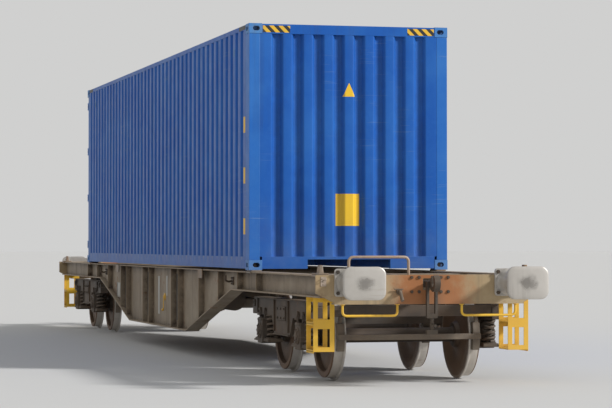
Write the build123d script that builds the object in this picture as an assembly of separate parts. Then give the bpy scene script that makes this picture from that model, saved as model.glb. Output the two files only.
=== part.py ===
from build123d import *
import os
from collections import namedtuple

# A sixty-foot skeletal container wagon on two bogies, with one forty-foot high-cube container on its spigots.
# Millimetres. +X points to the front end, +Y to the wagon's left side, +Z up.
# The origin is below the wagon's middle, level with the tips of the wheel flanges.

# Wheels and rails
TREAD_RADIUS = 460.0
FLANGE_HEIGHT = 28.0
RAIL_Z = FLANGE_HEIGHT
AXLE_Z = RAIL_Z + TREAD_RADIUS
WHEELBASE = 1800.0
PIVOT_X = 7100.0

# Underframe
HALF_OVER_BUFFERS = 9870.0
HALF_FRAME = 9250.0
SILL_TOP_Z = RAIL_Z + 1140.0
SILL_END_BOTTOM_Z = RAIL_Z + 900.0
BELLY_BOTTOM_Z = RAIL_Z + 300.0
BELLY_FLAT_HALF = 2175.0
BELLY_SLOPE_END = 4975.0
SILL_Y = 1100.0
SILL_FLANGE_HALF = 90.0
WEB_HALF = 7.0
FLANGE_THICK = 18.0
PLATE_THICK = 20.0

# Container seat and spigots
SEAT_Z = RAIL_Z + 1155.0
SPIGOT_Y = 1129.5
SPIGOT_X_LOADED = 5992.5
SPIGOT_X_FREE = 9042.0
SPIGOT_X_FOLDED = 3190.0

# Container
BOX_HALF_LENGTH = 6096.0
BOX_HALF_WIDTH = 1219.0
BOX_HEIGHT = 2896.0
CASTING = (178.0, 162.0, 118.0)
SHEET_THICK = 3.0


# Shapes

def block(x, y, z):
    """A box between the low and high values of each axis."""
    size = [high - low for low, high in (x, y, z)]
    middle = [(low + high) / 2 for low, high in (x, y, z)]
    return Pos(*middle) * Box(*size)


def around(middle, half):
    """The low and high value at a half width either side of a middle."""
    return middle - half, middle + half


def along_x(outline, low, high):
    """The (y, z) outline carried along X from low to high."""
    face = make_face(Polyline(*[(low, y, z) for y, z in outline], close=True))
    return extrude(face, amount=high - low, dir=(1, 0, 0))


def along_y(outline, low, high):
    """The (x, z) outline carried along Y from low to high."""
    face = make_face(Polyline(*[(x, low, z) for x, z in outline], close=True))
    return extrude(face, amount=high - low, dir=(0, 1, 0))


def along_z(outline, low, high):
    """The (x, y) outline carried along Z from low to high."""
    face = make_face(Polyline(*[(x, y, low) for x, y in outline], close=True))
    return extrude(face, amount=high - low, dir=(0, 0, 1))


def rod(start, end, radius):
    """A round bar between two points."""
    a, b = Vector(*start), Vector(*end)
    return Solid.make_cylinder(radius, (b - a).length, Plane(origin=a, z_dir=(b - a).normalized()))


def left_right(shape):
    """The shape and its mirror image across the wagon's middle plane."""
    return [shape, mirror(shape, about=Plane.XZ)]


def front_rear(shape):
    """The shape and its mirror image at the other end of the wagon."""
    return [shape, mirror(shape, about=Plane.YZ)]


def four_corners(shape):
    """The shape repeated at all four corners of the wagon."""
    return [copy for end in front_rear(shape) for copy in left_right(end)]


def turned(shape):
    """The shape turned half a turn about the wagon's upright middle line."""
    return Rot(0, 0, 180) * shape


def fuse(shapes):
    """One solid from pieces that are welded together."""
    return shapes[0].fuse(*shapes[1:]).clean()


def save(name, shapes):
    """Write the solids of one sub-part."""
    solids = [solid for shape in shapes for solid in shape.solids()]
    export_step(Compound(solids), f"parts/{name}.step")


os.makedirs("parts", exist_ok=True)


# Side sills
# Welded I-beams whose bottom flange drops into a fish belly between the bogies.
# Ribs stiffen the outer side; close pairs of them frame the panels near the middle.

RIB_THICK = 12.0
RIB_SET_IN = 8.0
PANEL_HALF = 250.0
PANEL_MIDDLES = [-2730.0, -830.0, 1370.0]
SINGLE_RIBS = [-6300.0, -5300.0, -4200.0, 3000.0, 4200.0, 5300.0, 6300.0]


def belly_z(x):
    """Height of the sill's underside at a distance from the middle of the wagon."""
    share = (abs(x) - BELLY_FLAT_HALF) / (BELLY_SLOPE_END - BELLY_FLAT_HALF)
    share = min(max(share, 0.0), 1.0)
    return BELLY_BOTTOM_Z + share * (SILL_END_BOTTOM_Z - BELLY_BOTTOM_Z)


def side_sill():
    """The left side sill with its web, two flanges and outer ribs."""
    corners = [BELLY_SLOPE_END, BELLY_FLAT_HALF]
    stations = [-HALF_FRAME, *[-x for x in corners], *reversed(corners), HALF_FRAME]
    under = [(x, belly_z(x)) for x in stations]
    top = [(HALF_FRAME, SILL_TOP_Z), (-HALF_FRAME, SILL_TOP_Z)]
    flange_y = around(SILL_Y, SILL_FLANGE_HALF)
    web = along_y(under + top, *around(SILL_Y, WEB_HALF))
    bottom = along_y(under + [(x, z + FLANGE_THICK) for x, z in reversed(under)], *flange_y)
    upper = block((-HALF_FRAME, HALF_FRAME), flange_y, (SILL_TOP_Z - FLANGE_THICK, SILL_TOP_Z))
    ribs = []
    for x in SINGLE_RIBS + [middle + side * PANEL_HALF for middle in PANEL_MIDDLES for side in (-1, 1)]:
        reach = (SILL_Y, flange_y[1] - RIB_SET_IN)
        height = (belly_z(x) + FLANGE_THICK / 2, SILL_TOP_Z - FLANGE_THICK / 2)
        ribs.append(block(around(x, RIB_THICK / 2), reach, height))
    return fuse([web, bottom, upper, *ribs])


left_sill, right_sill = left_right(side_sill())
save("left_side_sill", [left_sill])
save("right_side_sill", [right_sill])


# Headstocks
# An end plate with a lip along its foot and gussets behind the buffers.

HEADSTOCK_HALF_WIDTH = 1240.0
HEADSTOCK_Z = (RAIL_Z + 850.0, SILL_TOP_Z)
HEADSTOCK_FRONT = HALF_FRAME + PLATE_THICK
HEADSTOCK_LIP = 110.0
HEADSTOCK_TAPER = 200.0
DRAW_SLOT_HALF = (75.0, 60.0)
COUPLER_Z = RAIL_Z + 1040.0
GUSSET_Y = (520.0, 760.0)
GUSSET_REACH = 330.0


def headstock():
    """The front headstock with its drawhook slot, foot lip and buffer gussets."""
    low, high = HEADSTOCK_Z
    wide = HEADSTOCK_HALF_WIDTH
    cut = wide - HEADSTOCK_TAPER
    outline = [(-cut, low), (cut, low), (wide, low + HEADSTOCK_TAPER / 2), (wide, high), (-wide, high),
               (-wide, low + HEADSTOCK_TAPER / 2)]
    plate = along_x(outline, HALF_FRAME, HEADSTOCK_FRONT)
    lip = block((HEADSTOCK_FRONT - HEADSTOCK_LIP, HEADSTOCK_FRONT), (-cut, cut), (low - FLANGE_THICK, low))
    slot = block(
        (HALF_FRAME - 1, HEADSTOCK_FRONT + 1),
        around(0, DRAW_SLOT_HALF[0]),
        around(COUPLER_Z, DRAW_SLOT_HALF[1]),
    )
    heel = HALF_FRAME - GUSSET_REACH
    gusset = [(HALF_FRAME, low), (HALF_FRAME, high), (heel, high), (heel, high - HEADSTOCK_LIP)]
    gussets = [along_y(gusset, y, y + PLATE_THICK) for y in GUSSET_Y]
    mirrored = [mirror(piece, about=Plane.XZ) for piece in gussets]
    return fuse([plate, lip, *gussets, *mirrored]) - slot


front_headstock, rear_headstock = front_rear(headstock())
save("front_headstock", [front_headstock])
save("rear_headstock", [rear_headstock])


# Body bolsters
# A box beam over each bogie with the upper centre pivot and two side-bearer pads below it.

BOLSTER_HALF = 200.0
BOLSTER_Z = (SILL_END_BOTTOM_Z + FLANGE_THICK, SILL_TOP_Z - FLANGE_THICK)
PIVOT_RADIUS = 150.0
PIVOT_FOOT_Z = RAIL_Z + 845.0
BEARER_Y = 850.0
BEARER_PAD_HALF = (110.0, 60.0)
BEARER_PAD_Z = RAIL_Z + 885.0


def body_bolster():
    """The front body bolster between the webs of the side sills."""
    beam = block(around(PIVOT_X, BOLSTER_HALF), around(0, SILL_Y - WEB_HALF), BOLSTER_Z)
    pivot = rod((PIVOT_X, 0, PIVOT_FOOT_Z), (PIVOT_X, 0, BOLSTER_Z[0]), PIVOT_RADIUS)
    pad = block(
        around(PIVOT_X, BEARER_PAD_HALF[0]),
        around(BEARER_Y, BEARER_PAD_HALF[1]),
        (BEARER_PAD_Z, BOLSTER_Z[0]),
    )
    return fuse([beam, pivot, *left_right(pad)])


save("body_bolsters", front_rear(body_bolster()))


# Centre sills and cross beams

CENTRE_SILL_Y = 170.0
CENTRE_SILL_FLANGE = 70.0
CENTRE_SILL_THICK = 14.0
CENTRE_SILL_Z = (RAIL_Z + 905.0, SILL_TOP_Z - 22.0)
CROSS_BEAM_STATIONS = [-4600.0, -3050.0, -1525.0, 0.0, 1525.0, 3050.0, 4600.0]
CROSS_BEAM_Z = (RAIL_Z + 920.0, RAIL_Z + 1090.0)
CROSS_BEAM_HALF = 65.0
CROSS_BEAM_THICK = 12.0


def centre_sill():
    """The front left channel that carries the draw gear from the headstock to the bolster."""
    low, high = CENTRE_SILL_Z
    back, thick = CENTRE_SILL_Y, CENTRE_SILL_THICK
    toe = back - CENTRE_SILL_FLANGE
    channel = [
        (toe, low), (back, low), (back, high), (toe, high),
        (toe, high - thick), (back - thick, high - thick), (back - thick, low + thick), (toe, low + thick),
    ]
    return along_x(channel, PIVOT_X + BOLSTER_HALF, HALF_FRAME)


def cross_beam(x):
    """An I-beam from web to web of the side sills."""
    low, high = CROSS_BEAM_Z
    wide, web, thick = CROSS_BEAM_HALF, WEB_HALF, CROSS_BEAM_THICK
    half = [
        (wide, low), (wide, low + thick), (web, low + thick),
        (web, high - thick), (wide, high - thick), (wide, high),
    ]
    outline = half + [(-a, z) for a, z in reversed(half)]
    return along_y([(x + a, z) for a, z in outline], *around(0, SILL_Y - WEB_HALF))


save("centre_sills", four_corners(centre_sill()))
save("cross_beams", [cross_beam(x) for x in CROSS_BEAM_STATIONS])


# Container spigots
# Raised ones stand on seat pads on the sills; those for shorter loads are folded down outside the sill.

PAD_HALF = (130.0, 60.0)
SPIGOT_HALF = (52.0, 27.0)
SPIGOT_TAPER = 8.0
SPIGOT_HEIGHT = 85.0
FOLDED_THICK = SEAT_Z - SILL_TOP_Z


def spigot(x):
    """A seat pad with a tapered spigot that enters a corner casting."""
    pad = block(around(x, PAD_HALF[0]), around(SPIGOT_Y, PAD_HALF[1]), (SILL_TOP_Z, SEAT_Z))
    foot = Pos(x, SPIGOT_Y, SEAT_Z) * Rectangle(2 * SPIGOT_HALF[0], 2 * SPIGOT_HALF[1])
    return fuse([pad, extrude(foot.face(), SPIGOT_HEIGHT, taper=SPIGOT_TAPER)])


def folded_spigot():
    """A pad hanging from its hinge beside the top flange, with its spigot lying towards the middle."""
    flange_edge = SILL_Y + SILL_FLANGE_HALF
    return block(
        around(SPIGOT_X_FOLDED, PAD_HALF[0]),
        (flange_edge, flange_edge + FOLDED_THICK),
        (SILL_TOP_Z - 2 * PAD_HALF[1], SILL_TOP_Z),
    )


raised = [copy for x in (SPIGOT_X_FREE, SPIGOT_X_LOADED) for copy in four_corners(spigot(x))]
save("container_spigots", raised + four_corners(folded_spigot()))


# Buffers

BUFFER_Y = 875.0
BUFFER_Z = RAIL_Z + 1060.0
BUFFER_HEAD = (450.0, 340.0, 40.0)
BUFFER_CORNER = 60.0
PLUNGER_RADIUS = 95.0
CASING_RADIUS = 125.0
CASING_LENGTH = 360.0
BUFFER_BASE = (330.0, 290.0, 25.0)


def buffer():
    """The front left buffer: base plate, casing, plunger and oblong head."""
    head_back = HALF_OVER_BUFFERS - BUFFER_HEAD[2]
    head_plane = Plane(origin=(head_back, BUFFER_Y, BUFFER_Z), x_dir=(0, 1, 0), z_dir=(1, 0, 0))
    wide, tall, thick = BUFFER_HEAD
    head = extrude(head_plane * RectangleRounded(wide, tall, BUFFER_CORNER), thick)
    casing_end = HEADSTOCK_FRONT + CASING_LENGTH
    base_front = HEADSTOCK_FRONT + BUFFER_BASE[2]
    base = block(
        (HEADSTOCK_FRONT, base_front),
        around(BUFFER_Y, BUFFER_BASE[0] / 2),
        around(BUFFER_Z, BUFFER_BASE[1] / 2),
    )
    casing = rod((base_front, BUFFER_Y, BUFFER_Z), (casing_end, BUFFER_Y, BUFFER_Z), CASING_RADIUS)
    plunger = rod((casing_end, BUFFER_Y, BUFFER_Z), (head_back, BUFFER_Y, BUFFER_Z), PLUNGER_RADIUS)
    return fuse([head, base, casing, plunger])


front_buffers = left_right(buffer())
save("front_buffers", front_buffers)
save("rear_buffers", [mirror(piece, about=Plane.YZ) for piece in front_buffers])


# Draw gear
# A forged hook with an open throat, and the screw coupling hanging from its eye.

HOOK_HALF = 32.0
HOOK_SHANK = (HALF_FRAME - 200.0, HEADSTOCK_FRONT + 150.0)
HOOK_SHANK_HALF = 34.0
HOOK_BEND = (HEADSTOCK_FRONT + 190.0, COUPLER_Z + 12.0)
HOOK_BEND_RADIUS = 88.0
THROAT_RADIUS = 36.0
THROAT_MOUTH = (-42.0, 26.0)
EYE_X = HEADSTOCK_FRONT + 60.0
EYE_RADIUS = 21.0
EYE_PIN_RADIUS = 20.0
LINK_HALF = (22.0, 13.0)
LINK_Y = HOOK_HALF + 1.0 + LINK_HALF[1]
LINK_Z = (COUPLER_Z - 330.0, COUPLER_Z + 30.0)
BOW_Z = COUPLER_Z - 500.0
SCREW_RADIUS = 20.0
TRUNNION_HALF = 24.0


def draw_hook():
    """The front hook: a shank that ends in a round bend with its throat cut open at the top."""
    shank = block(HOOK_SHANK, around(0, HOOK_HALF), around(COUPLER_Z, HOOK_SHANK_HALF))
    x, z = HOOK_BEND
    bend = rod((x, -HOOK_HALF, z), (x, HOOK_HALF, z), HOOK_BEND_RADIUS)
    throat = rod((x, -HOOK_HALF - 1, z), (x, HOOK_HALF + 1, z), THROAT_RADIUS)
    mouth = block(
        (x + THROAT_MOUTH[0], x + THROAT_MOUTH[1]),
        around(0, HOOK_HALF + 1),
        (z, z + HOOK_BEND_RADIUS + 1),
    )
    eye = rod((EYE_X, -HOOK_HALF - 1, COUPLER_Z), (EYE_X, HOOK_HALF + 1, COUPLER_Z), EYE_RADIUS)
    return fuse([shank, bend]) - throat - mouth - eye


def screw_coupling():
    """The coupling on its pin through the hook's eye: side links, trunnion block, screw and bow."""
    links = left_right(block(around(EYE_X, LINK_HALF[0]), around(LINK_Y, LINK_HALF[1]), LINK_Z))
    reach = LINK_Y + LINK_HALF[1]
    pin = rod((EYE_X, -reach, COUPLER_Z), (EYE_X, reach, COUPLER_Z), EYE_PIN_RADIUS)
    upper = block(around(EYE_X, TRUNNION_HALF), around(0, reach), around(LINK_Z[0], TRUNNION_HALF))
    screw = rod((EYE_X, 0, BOW_Z), (EYE_X, 0, LINK_Z[0]), SCREW_RADIUS)
    bow = block(around(EYE_X, TRUNNION_HALF), around(0, reach), around(BOW_Z, TRUNNION_HALF))
    return fuse([*links, pin, upper, screw, bow])


front_draw_gear = [draw_hook(), screw_coupling()]
save("front_draw_hook", front_draw_gear)
save("rear_draw_hook", [mirror(piece, about=Plane.YZ) for piece in front_draw_gear])


# Corner steps, end rails and handles

STEP_X = (8690.0, 8990.0)
STEP_Y = (960.0, 1190.0)
STEP_LEVELS = [RAIL_Z + 330.0, RAIL_Z + 620.0]
STEP_THICK = 10.0
STEP_BAR = 50.0
HANDLE_BAR = 26.0
HANDLE_Y = (340.0, 960.0)
HANDLE_Z = RAIL_Z + 700.0
GRAB_BAR = 30.0
GRAB_X = HALF_FRAME - 60.0
GRAB_Y = (-880.0, -200.0)
GRAB_TOP_Z = SILL_TOP_Z + 200.0
GRAB_FOOT_Z = SILL_TOP_Z - 120.0


def corner_step():
    """A two-tread step hung below the sill near the front left corner, with open hangers."""
    height = (STEP_LEVELS[0], SILL_END_BOTTOM_Z)
    hangers = [block((x, x + STEP_THICK), STEP_Y, height) for x in (STEP_X[0], STEP_X[1] - STEP_THICK)]
    across_y = (STEP_Y[0] + STEP_BAR, STEP_Y[1] - STEP_BAR)
    for low, high in ((STEP_LEVELS[0], STEP_LEVELS[1]), (STEP_LEVELS[1], SILL_END_BOTTOM_Z)):
        window = block((STEP_X[0] - 1, STEP_X[1] + 1), across_y, (low + STEP_BAR, high - STEP_BAR))
        hangers = [hanger - window for hanger in hangers]
    treads = [block(STEP_X, STEP_Y, (z, z + STEP_THICK)) for z in STEP_LEVELS]
    return fuse(hangers + treads)


def shunter_handle():
    """The handle bar that hangs below the front headstock beside the coupling, on the left."""
    x = (HEADSTOCK_FRONT - HANDLE_BAR, HEADSTOCK_FRONT)
    bar = block(x, HANDLE_Y, (HANDLE_Z, HANDLE_Z + HANDLE_BAR))
    height = (HANDLE_Z, HEADSTOCK_Z[0] - FLANGE_THICK)
    legs = [block(x, (y, y + HANDLE_BAR), height) for y in (HANDLE_Y[0], HANDLE_Y[1] - HANDLE_BAR)]
    return fuse([bar, *legs])


def end_rail():
    """The low grab rail on two posts above the front headstock."""
    x = (GRAB_X, GRAB_X + GRAB_BAR)
    pieces = [block(x, GRAB_Y, (GRAB_TOP_Z - GRAB_BAR, GRAB_TOP_Z))]
    for y in (GRAB_Y[0], GRAB_Y[1] - GRAB_BAR):
        width = (y, y + GRAB_BAR)
        pieces.append(block(x, width, (GRAB_FOOT_Z, GRAB_TOP_Z)))
        pieces.append(block((GRAB_X, HALF_FRAME), width, (GRAB_FOOT_Z, GRAB_FOOT_Z + 2 * GRAB_BAR)))
    return fuse(pieces)


save("corner_steps", four_corners(corner_step()))
save("end_rails", [end_rail(), turned(end_rail())])
save("shunter_handles", four_corners(shunter_handle()))


# Brake gear on the underframe
# The reservoir and the cylinder hang by saddles from two of the cross beams; the pipe runs end to end.

RESERVOIR_RADIUS = 200.0
RESERVOIR_Y = (-150.0, 900.0)
RESERVOIR_X = CROSS_BEAM_STATIONS[2]
CYLINDER_RADIUS = 170.0
CYLINDER_HALF = 260.0
CYLINDER_Y = -430.0
CYLINDER_X = CROSS_BEAM_STATIONS[4]
TANK_GAP = 25.0
SADDLE_HALF = 30.0
SADDLE_WIDE = 110.0
PIPE_RADIUS = 17.0
PIPE_Y = -560.0
PIPE_Z = BOLSTER_Z[0] - PIPE_RADIUS - 0.5


def air_reservoir():
    """The air reservoir lying across the wagon below a cross beam."""
    z = CROSS_BEAM_Z[0] - TANK_GAP - RESERVOIR_RADIUS
    tank = rod((RESERVOIR_X, RESERVOIR_Y[0], z), (RESERVOIR_X, RESERVOIR_Y[1], z), RESERVOIR_RADIUS)
    span = RESERVOIR_Y[1] - RESERVOIR_Y[0]
    height = (z + SADDLE_WIDE, CROSS_BEAM_Z[0])
    saddles = [
        block(around(RESERVOIR_X, CROSS_BEAM_HALF), around(y, SADDLE_HALF), height)
        for y in (RESERVOIR_Y[0] + span / 4, RESERVOIR_Y[1] - span / 4)
    ]
    return fuse([tank, *saddles])


def brake_cylinder():
    """The brake cylinder lying along the wagon below a cross beam, with its push rod."""
    z = CROSS_BEAM_Z[0] - TANK_GAP - CYLINDER_RADIUS
    low, high = around(CYLINDER_X, CYLINDER_HALF)
    body = rod((low, CYLINDER_Y, z), (high, CYLINDER_Y, z), CYLINDER_RADIUS)
    push_rod = block((low - CYLINDER_HALF, low), around(CYLINDER_Y, PIPE_RADIUS), around(z, PIPE_RADIUS))
    height = (z + SADDLE_WIDE, CROSS_BEAM_Z[0])
    saddle = block(around(CYLINDER_X, CROSS_BEAM_HALF), around(CYLINDER_Y, SADDLE_WIDE), height)
    return fuse([body, push_rod, saddle])


save("air_reservoir", [air_reservoir()])
save("brake_cylinder", [brake_cylinder()])
brake_pipe = rod((-HALF_FRAME, PIPE_Y, PIPE_Z), (HALF_FRAME, PIPE_Y, PIPE_Z), PIPE_RADIUS)
save("brake_pipe", [brake_pipe])


# Bogies
# Heights in this section are above the rail. Each axle box stands its springs on two wings, and the side
# frame rests on the springs. Horn guides come down from the frame on both sides of the box.

SIDE_FRAME_Y = 1000.0
SIDE_FRAME_HALF = 65.0
SIDE_FRAME_HALF_LENGTH = 1450.0
FRAME_TOP = 845.0
FRAME_NOSE = (120.0, 65.0)
BELLY_HALF = 360.0
BELLY_SHOULDER = 500.0
BELLY_LOW = 430.0
BOLSTER_BOX = (260.0, 560.0, 800.0)
END_BEAM_X = 1400.0
END_BEAM_BOX = (40.0, 680.0, 800.0)
BOWL_RADIUS = 200.0
BOWL_TOP = 875.0
BOWL_CLEARANCE = 2.0
BOWL_FLOOR_GAP = 0.5
SIDE_BEARER_HALF = (120.0, 70.0)
SIDE_BEARER_TOP = 880.0
HANGER_Y = (745.0, 779.0)
HANGER_REACH = 450.0
HANGER_SHELF = (755.0, 790.0)

BOX_HALF = 115.0
BOX_Y = (890.0, 1110.0)
BOX_HEIGHTS = (310.0, 600.0)
WING_HALF_LENGTH = 320.0
WING_HALF_WIDTH = 90.0
WING_HEIGHTS = (330.0, 370.0)
SPRING_TOP = 640.0
SPRING_OFFSET = 230.0
SPRING_RADIUS = 80.0
GUIDE_GAP = 4.0
GUIDE_THICK = 18.0
GUIDE_FOOT = 390.0
AXLE_RADIUS = 80.0
BORE_RADIUS = AXLE_RADIUS + 1.0
AXLE_END_Y = 1060.0
BORE_END_Y = AXLE_END_Y + 5.0


def above_rail(*heights):
    """Heights above the rail, as heights above the wheel flanges."""
    return tuple(RAIL_Z + h for h in heights)


def side_frame_outline(centre):
    """The side frame seen from the side: sloped noses, straight spring pockets and a deep middle."""
    nose_x, nose_drop = FRAME_NOSE
    half = [
        (BELLY_HALF, BELLY_LOW),
        (BELLY_SHOULDER, SPRING_TOP),
        (SIDE_FRAME_HALF_LENGTH, SPRING_TOP),
        (SIDE_FRAME_HALF_LENGTH, FRAME_TOP - nose_drop),
        (SIDE_FRAME_HALF_LENGTH - nose_x, FRAME_TOP),
    ]
    outline = half + [(-x, z) for x, z in reversed(half)]
    return [(centre + x, RAIL_Z + z) for x, z in outline]


def bogie_frame(centre, axles):
    """Two side frames with horn guides, the bolster with pivot bowl and side bearers, and two end beams."""
    frame_y = around(SIDE_FRAME_Y, SIDE_FRAME_HALF)
    side = along_y(side_frame_outline(centre), *frame_y)
    guides = []
    for axle_x in axles:
        for edge in (-BOX_HALF - GUIDE_GAP - GUIDE_THICK, BOX_HALF + GUIDE_GAP):
            reach = (axle_x + edge, axle_x + edge + GUIDE_THICK)
            guides.append(block(reach, frame_y, above_rail(GUIDE_FOOT, SPRING_TOP)))
    side = fuse([side, *guides])
    reach = around(0, SIDE_FRAME_Y)
    half, low, high = BOLSTER_BOX
    bolster = block(around(centre, half), reach, above_rail(low, high))
    bowl = rod((centre, 0, RAIL_Z + high), (centre, 0, RAIL_Z + BOWL_TOP), BOWL_RADIUS)
    long, wide = SIDE_BEARER_HALF
    bearer = block(around(centre, long), around(BEARER_Y, wide), above_rail(high, SIDE_BEARER_TOP))
    shelf = block(around(centre, HANGER_REACH), HANGER_Y, above_rail(*HANGER_SHELF))
    half, low, high = END_BEAM_BOX
    ends = [block(around(centre + x, half), reach, above_rail(low, high)) for x in (-END_BEAM_X, END_BEAM_X)]
    floor, rim = PIVOT_FOOT_Z - BOWL_FLOOR_GAP, RAIL_Z + BOWL_TOP + 1
    recess = rod((centre, 0, floor), (centre, 0, rim), PIVOT_RADIUS + BOWL_CLEARANCE)
    pairs = left_right(side) + left_right(bearer) + left_right(shelf)
    return fuse([bolster, *pairs, bowl, *ends]) - recess


def axle_box(axle_x):
    """The left axle box: housing with two spring wings, bored for the axle's journal."""
    body = block(around(axle_x, BOX_HALF), BOX_Y, above_rail(*BOX_HEIGHTS))
    wings = block(
        around(axle_x, WING_HALF_LENGTH), around(SIDE_FRAME_Y, WING_HALF_WIDTH), above_rail(*WING_HEIGHTS)
    )
    bore = rod((axle_x, BOX_Y[0] - 1, AXLE_Z), (axle_x, BORE_END_Y, AXLE_Z), BORE_RADIUS)
    return fuse([body, wings]) - bore


def springs(axle_x):
    """The left pair of spring nests between the wings and the side frame."""
    foot, head = above_rail(WING_HEIGHTS[1], SPRING_TOP)
    stands = [axle_x + side * SPRING_OFFSET for side in (-1, 1)]
    return [rod((x, SIDE_FRAME_Y, foot), (x, SIDE_FRAME_Y, head), SPRING_RADIUS) for x in stands]


# Wheel profile as (radius, distance from the wagon's middle plane), from the axle's middle to its end.
WHEEL_HALF_OUTLINE = [
    (AXLE_RADIUS, 690.0),
    (TREAD_RADIUS + FLANGE_HEIGHT, 690.0),
    (TREAD_RADIUS, 718.0),
    (TREAD_RADIUS, 825.0),
    (395.0, 825.0),
    (395.0, 765.0),
    (130.0, 765.0),
    (130.0, 835.0),
    (AXLE_RADIUS, 835.0),
    (AXLE_RADIUS, AXLE_END_Y),
    (0.0, AXLE_END_Y),
]


def wheelset(axle_x):
    """An axle with two flanged wheels, turned in one piece about the Y axis."""
    outline = [(r, -y) for r, y in reversed(WHEEL_HALF_OUTLINE)] + WHEEL_HALF_OUTLINE
    profile = make_face(Polyline(*outline, close=True))
    return Pos(axle_x, 0, AXLE_Z) * revolve(profile, Axis.Y)


SHOE_GAP = 12.0
SHOE_THICK = 60.0
SHOE_Y = (722.0, 802.0)
SHOE_HALF_HEIGHT = 150.0
BRAKE_BEAM_HALF = (22.0, 30.0)
HANGER_OFFSET = (468.0, 500.0)
HANGER_FOOT = 600.0
END_BEAM_FOOT = END_BEAM_BOX[1]


def brake_shoes(axle_x, side, hanger_top):
    """A brake beam on one side of an axle, with a curved shoe at each tread and the hangers above."""
    inner = TREAD_RADIUS + SHOE_GAP
    ring = rod((axle_x, SHOE_Y[0], AXLE_Z), (axle_x, SHOE_Y[1], AXLE_Z), inner + SHOE_THICK)
    ring = ring - rod((axle_x, SHOE_Y[0] - 1, AXLE_Z), (axle_x, SHOE_Y[1] + 1, AXLE_Z), inner)
    window = sorted((axle_x + side * inner / 2, axle_x + side * 2 * inner))
    shoe = ring & block(window, SHOE_Y, around(AXLE_Z, SHOE_HALF_HEIGHT))
    hanger_x = sorted(axle_x + side * offset for offset in HANGER_OFFSET)
    hanger = block(hanger_x, HANGER_Y, above_rail(HANGER_FOOT, hanger_top))
    beam_x = axle_x + side * (inner + SHOE_THICK + BRAKE_BEAM_HALF[0] / 2)
    beam = block(around(beam_x, BRAKE_BEAM_HALF[0]), around(0, SHOE_Y[1]), around(AXLE_Z, BRAKE_BEAM_HALF[1]))
    return fuse([beam, *left_right(shoe), *left_right(hanger)])


Bogie = namedtuple("Bogie", "name centre")
for bogie in (Bogie("front", PIVOT_X), Bogie("rear", -PIVOT_X)):
    axles = [bogie.centre - WHEELBASE / 2, bogie.centre + WHEELBASE / 2]
    save(f"{bogie.name}_bogie_frame", [bogie_frame(bogie.centre, axles)])
    save(f"{bogie.name}_bogie_axle_boxes", [copy for x in axles for copy in left_right(axle_box(x))])
    nests = [nest for x in axles for nest in springs(x)]
    save(f"{bogie.name}_bogie_springs", [copy for nest in nests for copy in left_right(nest)])
    rear_axle, front_axle = axles
    brakes = [
        brake_shoes(rear_axle, -1, END_BEAM_FOOT),
        brake_shoes(rear_axle, 1, HANGER_SHELF[0]),
        brake_shoes(front_axle, -1, HANGER_SHELF[0]),
        brake_shoes(front_axle, 1, END_BEAM_FOOT),
    ]
    save(f"{bogie.name}_bogie_brakes", brakes)
    for place, x in zip(("inner", "outer"), sorted(axles, key=abs)):
        save(f"{bogie.name}_{place}_wheelset", [wheelset(x)])


# Container
# Heights from here on are above the underside of the bottom corner castings.

CASTING_SLOT_HALF = (62.0, 32.0)
CASTING_WALL = 28.0
CASTING_X = (BOX_HALF_LENGTH - CASTING[0], BOX_HALF_LENGTH)
CASTING_Y = (BOX_HALF_WIDTH - CASTING[1], BOX_HALF_WIDTH)
WINDOW_HALF = (40.0, 26.0)
WINDOW_CORNER = 16.0


def lifted(*heights):
    """Heights above the container's seat, as heights above the wheel flanges."""
    return tuple(SEAT_Z + h for h in heights)


def cut_corner_outline(middle, half, corner):
    """A rectangle with cut corners, around a middle."""
    wide, tall = half
    upper = [(wide, tall - corner), (wide - corner, tall), (corner - wide, tall), (-wide, tall - corner)]
    points = upper + [(-a, -b) for a, b in upper]
    return [(middle[0] + a, middle[1] + b) for a, b in points]


def corner_casting(bottom):
    """A front left corner casting with its spigot slot and the windows in its end and side."""
    foot = 0.0 if bottom else BOX_HEIGHT - CASTING[2]
    body = block(CASTING_X, CASTING_Y, lifted(foot, foot + CASTING[2]))
    depth = (-1.0, CASTING[2] - CASTING_WALL) if bottom else (foot + CASTING_WALL, BOX_HEIGHT + 1)
    long, wide = CASTING_SLOT_HALF
    slot = block(around(SPIGOT_X_LOADED, long), around(SPIGOT_Y, wide), lifted(*depth))
    middle_z = SEAT_Z + foot + CASTING[2] / 2
    side = cut_corner_outline((SPIGOT_X_LOADED, middle_z), WINDOW_HALF, WINDOW_CORNER)
    end = cut_corner_outline((SPIGOT_Y, middle_z), WINDOW_HALF, WINDOW_CORNER)
    side_window = along_y(side, SPIGOT_Y, BOX_HALF_WIDTH + 1)
    end_window = along_x(end, SPIGOT_X_LOADED, BOX_HALF_LENGTH + 1)
    return body - slot - side_window - end_window


save("corner_castings", [copy for bottom in (True, False) for copy in four_corners(corner_casting(bottom))])


# Corrugated sheets
# A trapezoid corrugation: wide outer flats, narrow grooves and short slopes between them.

Corrugation = namedtuple("Corrugation", "count pitch flat groove depth")
SIDE_WAVES = Corrugation(42, 278.0, 142.0, 68.0, 36.0)
FRONT_WAVES = Corrugation(8, 250.0, 110.0, 72.0, 45.0)
ROOF_WAVES = Corrugation(14, 830.0, 560.0, 150.0, 20.0)
DOOR_WAVES = Corrugation(5, 490.0, 260.0, 160.0, 30.0)


def corrugated_sheet(waves, half_length):
    """The closed outline of a bent sheet, as (distance along it, depth below its outer flats)."""
    slope = (waves.pitch - waves.flat - waves.groove) / 2
    line = [(-half_length, 0.0)]
    for i in range(waves.count):
        middle = (i + 0.5 - waves.count / 2) * waves.pitch
        near, far = waves.groove / 2, waves.groove / 2 + slope
        line += [(middle - far, 0.0), (middle - near, waves.depth)]
        line += [(middle + near, waves.depth), (middle + far, 0.0)]
    line.append((half_length, 0.0))
    return line + [(a, depth + SHEET_THICK) for a, depth in reversed(line)]


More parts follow.
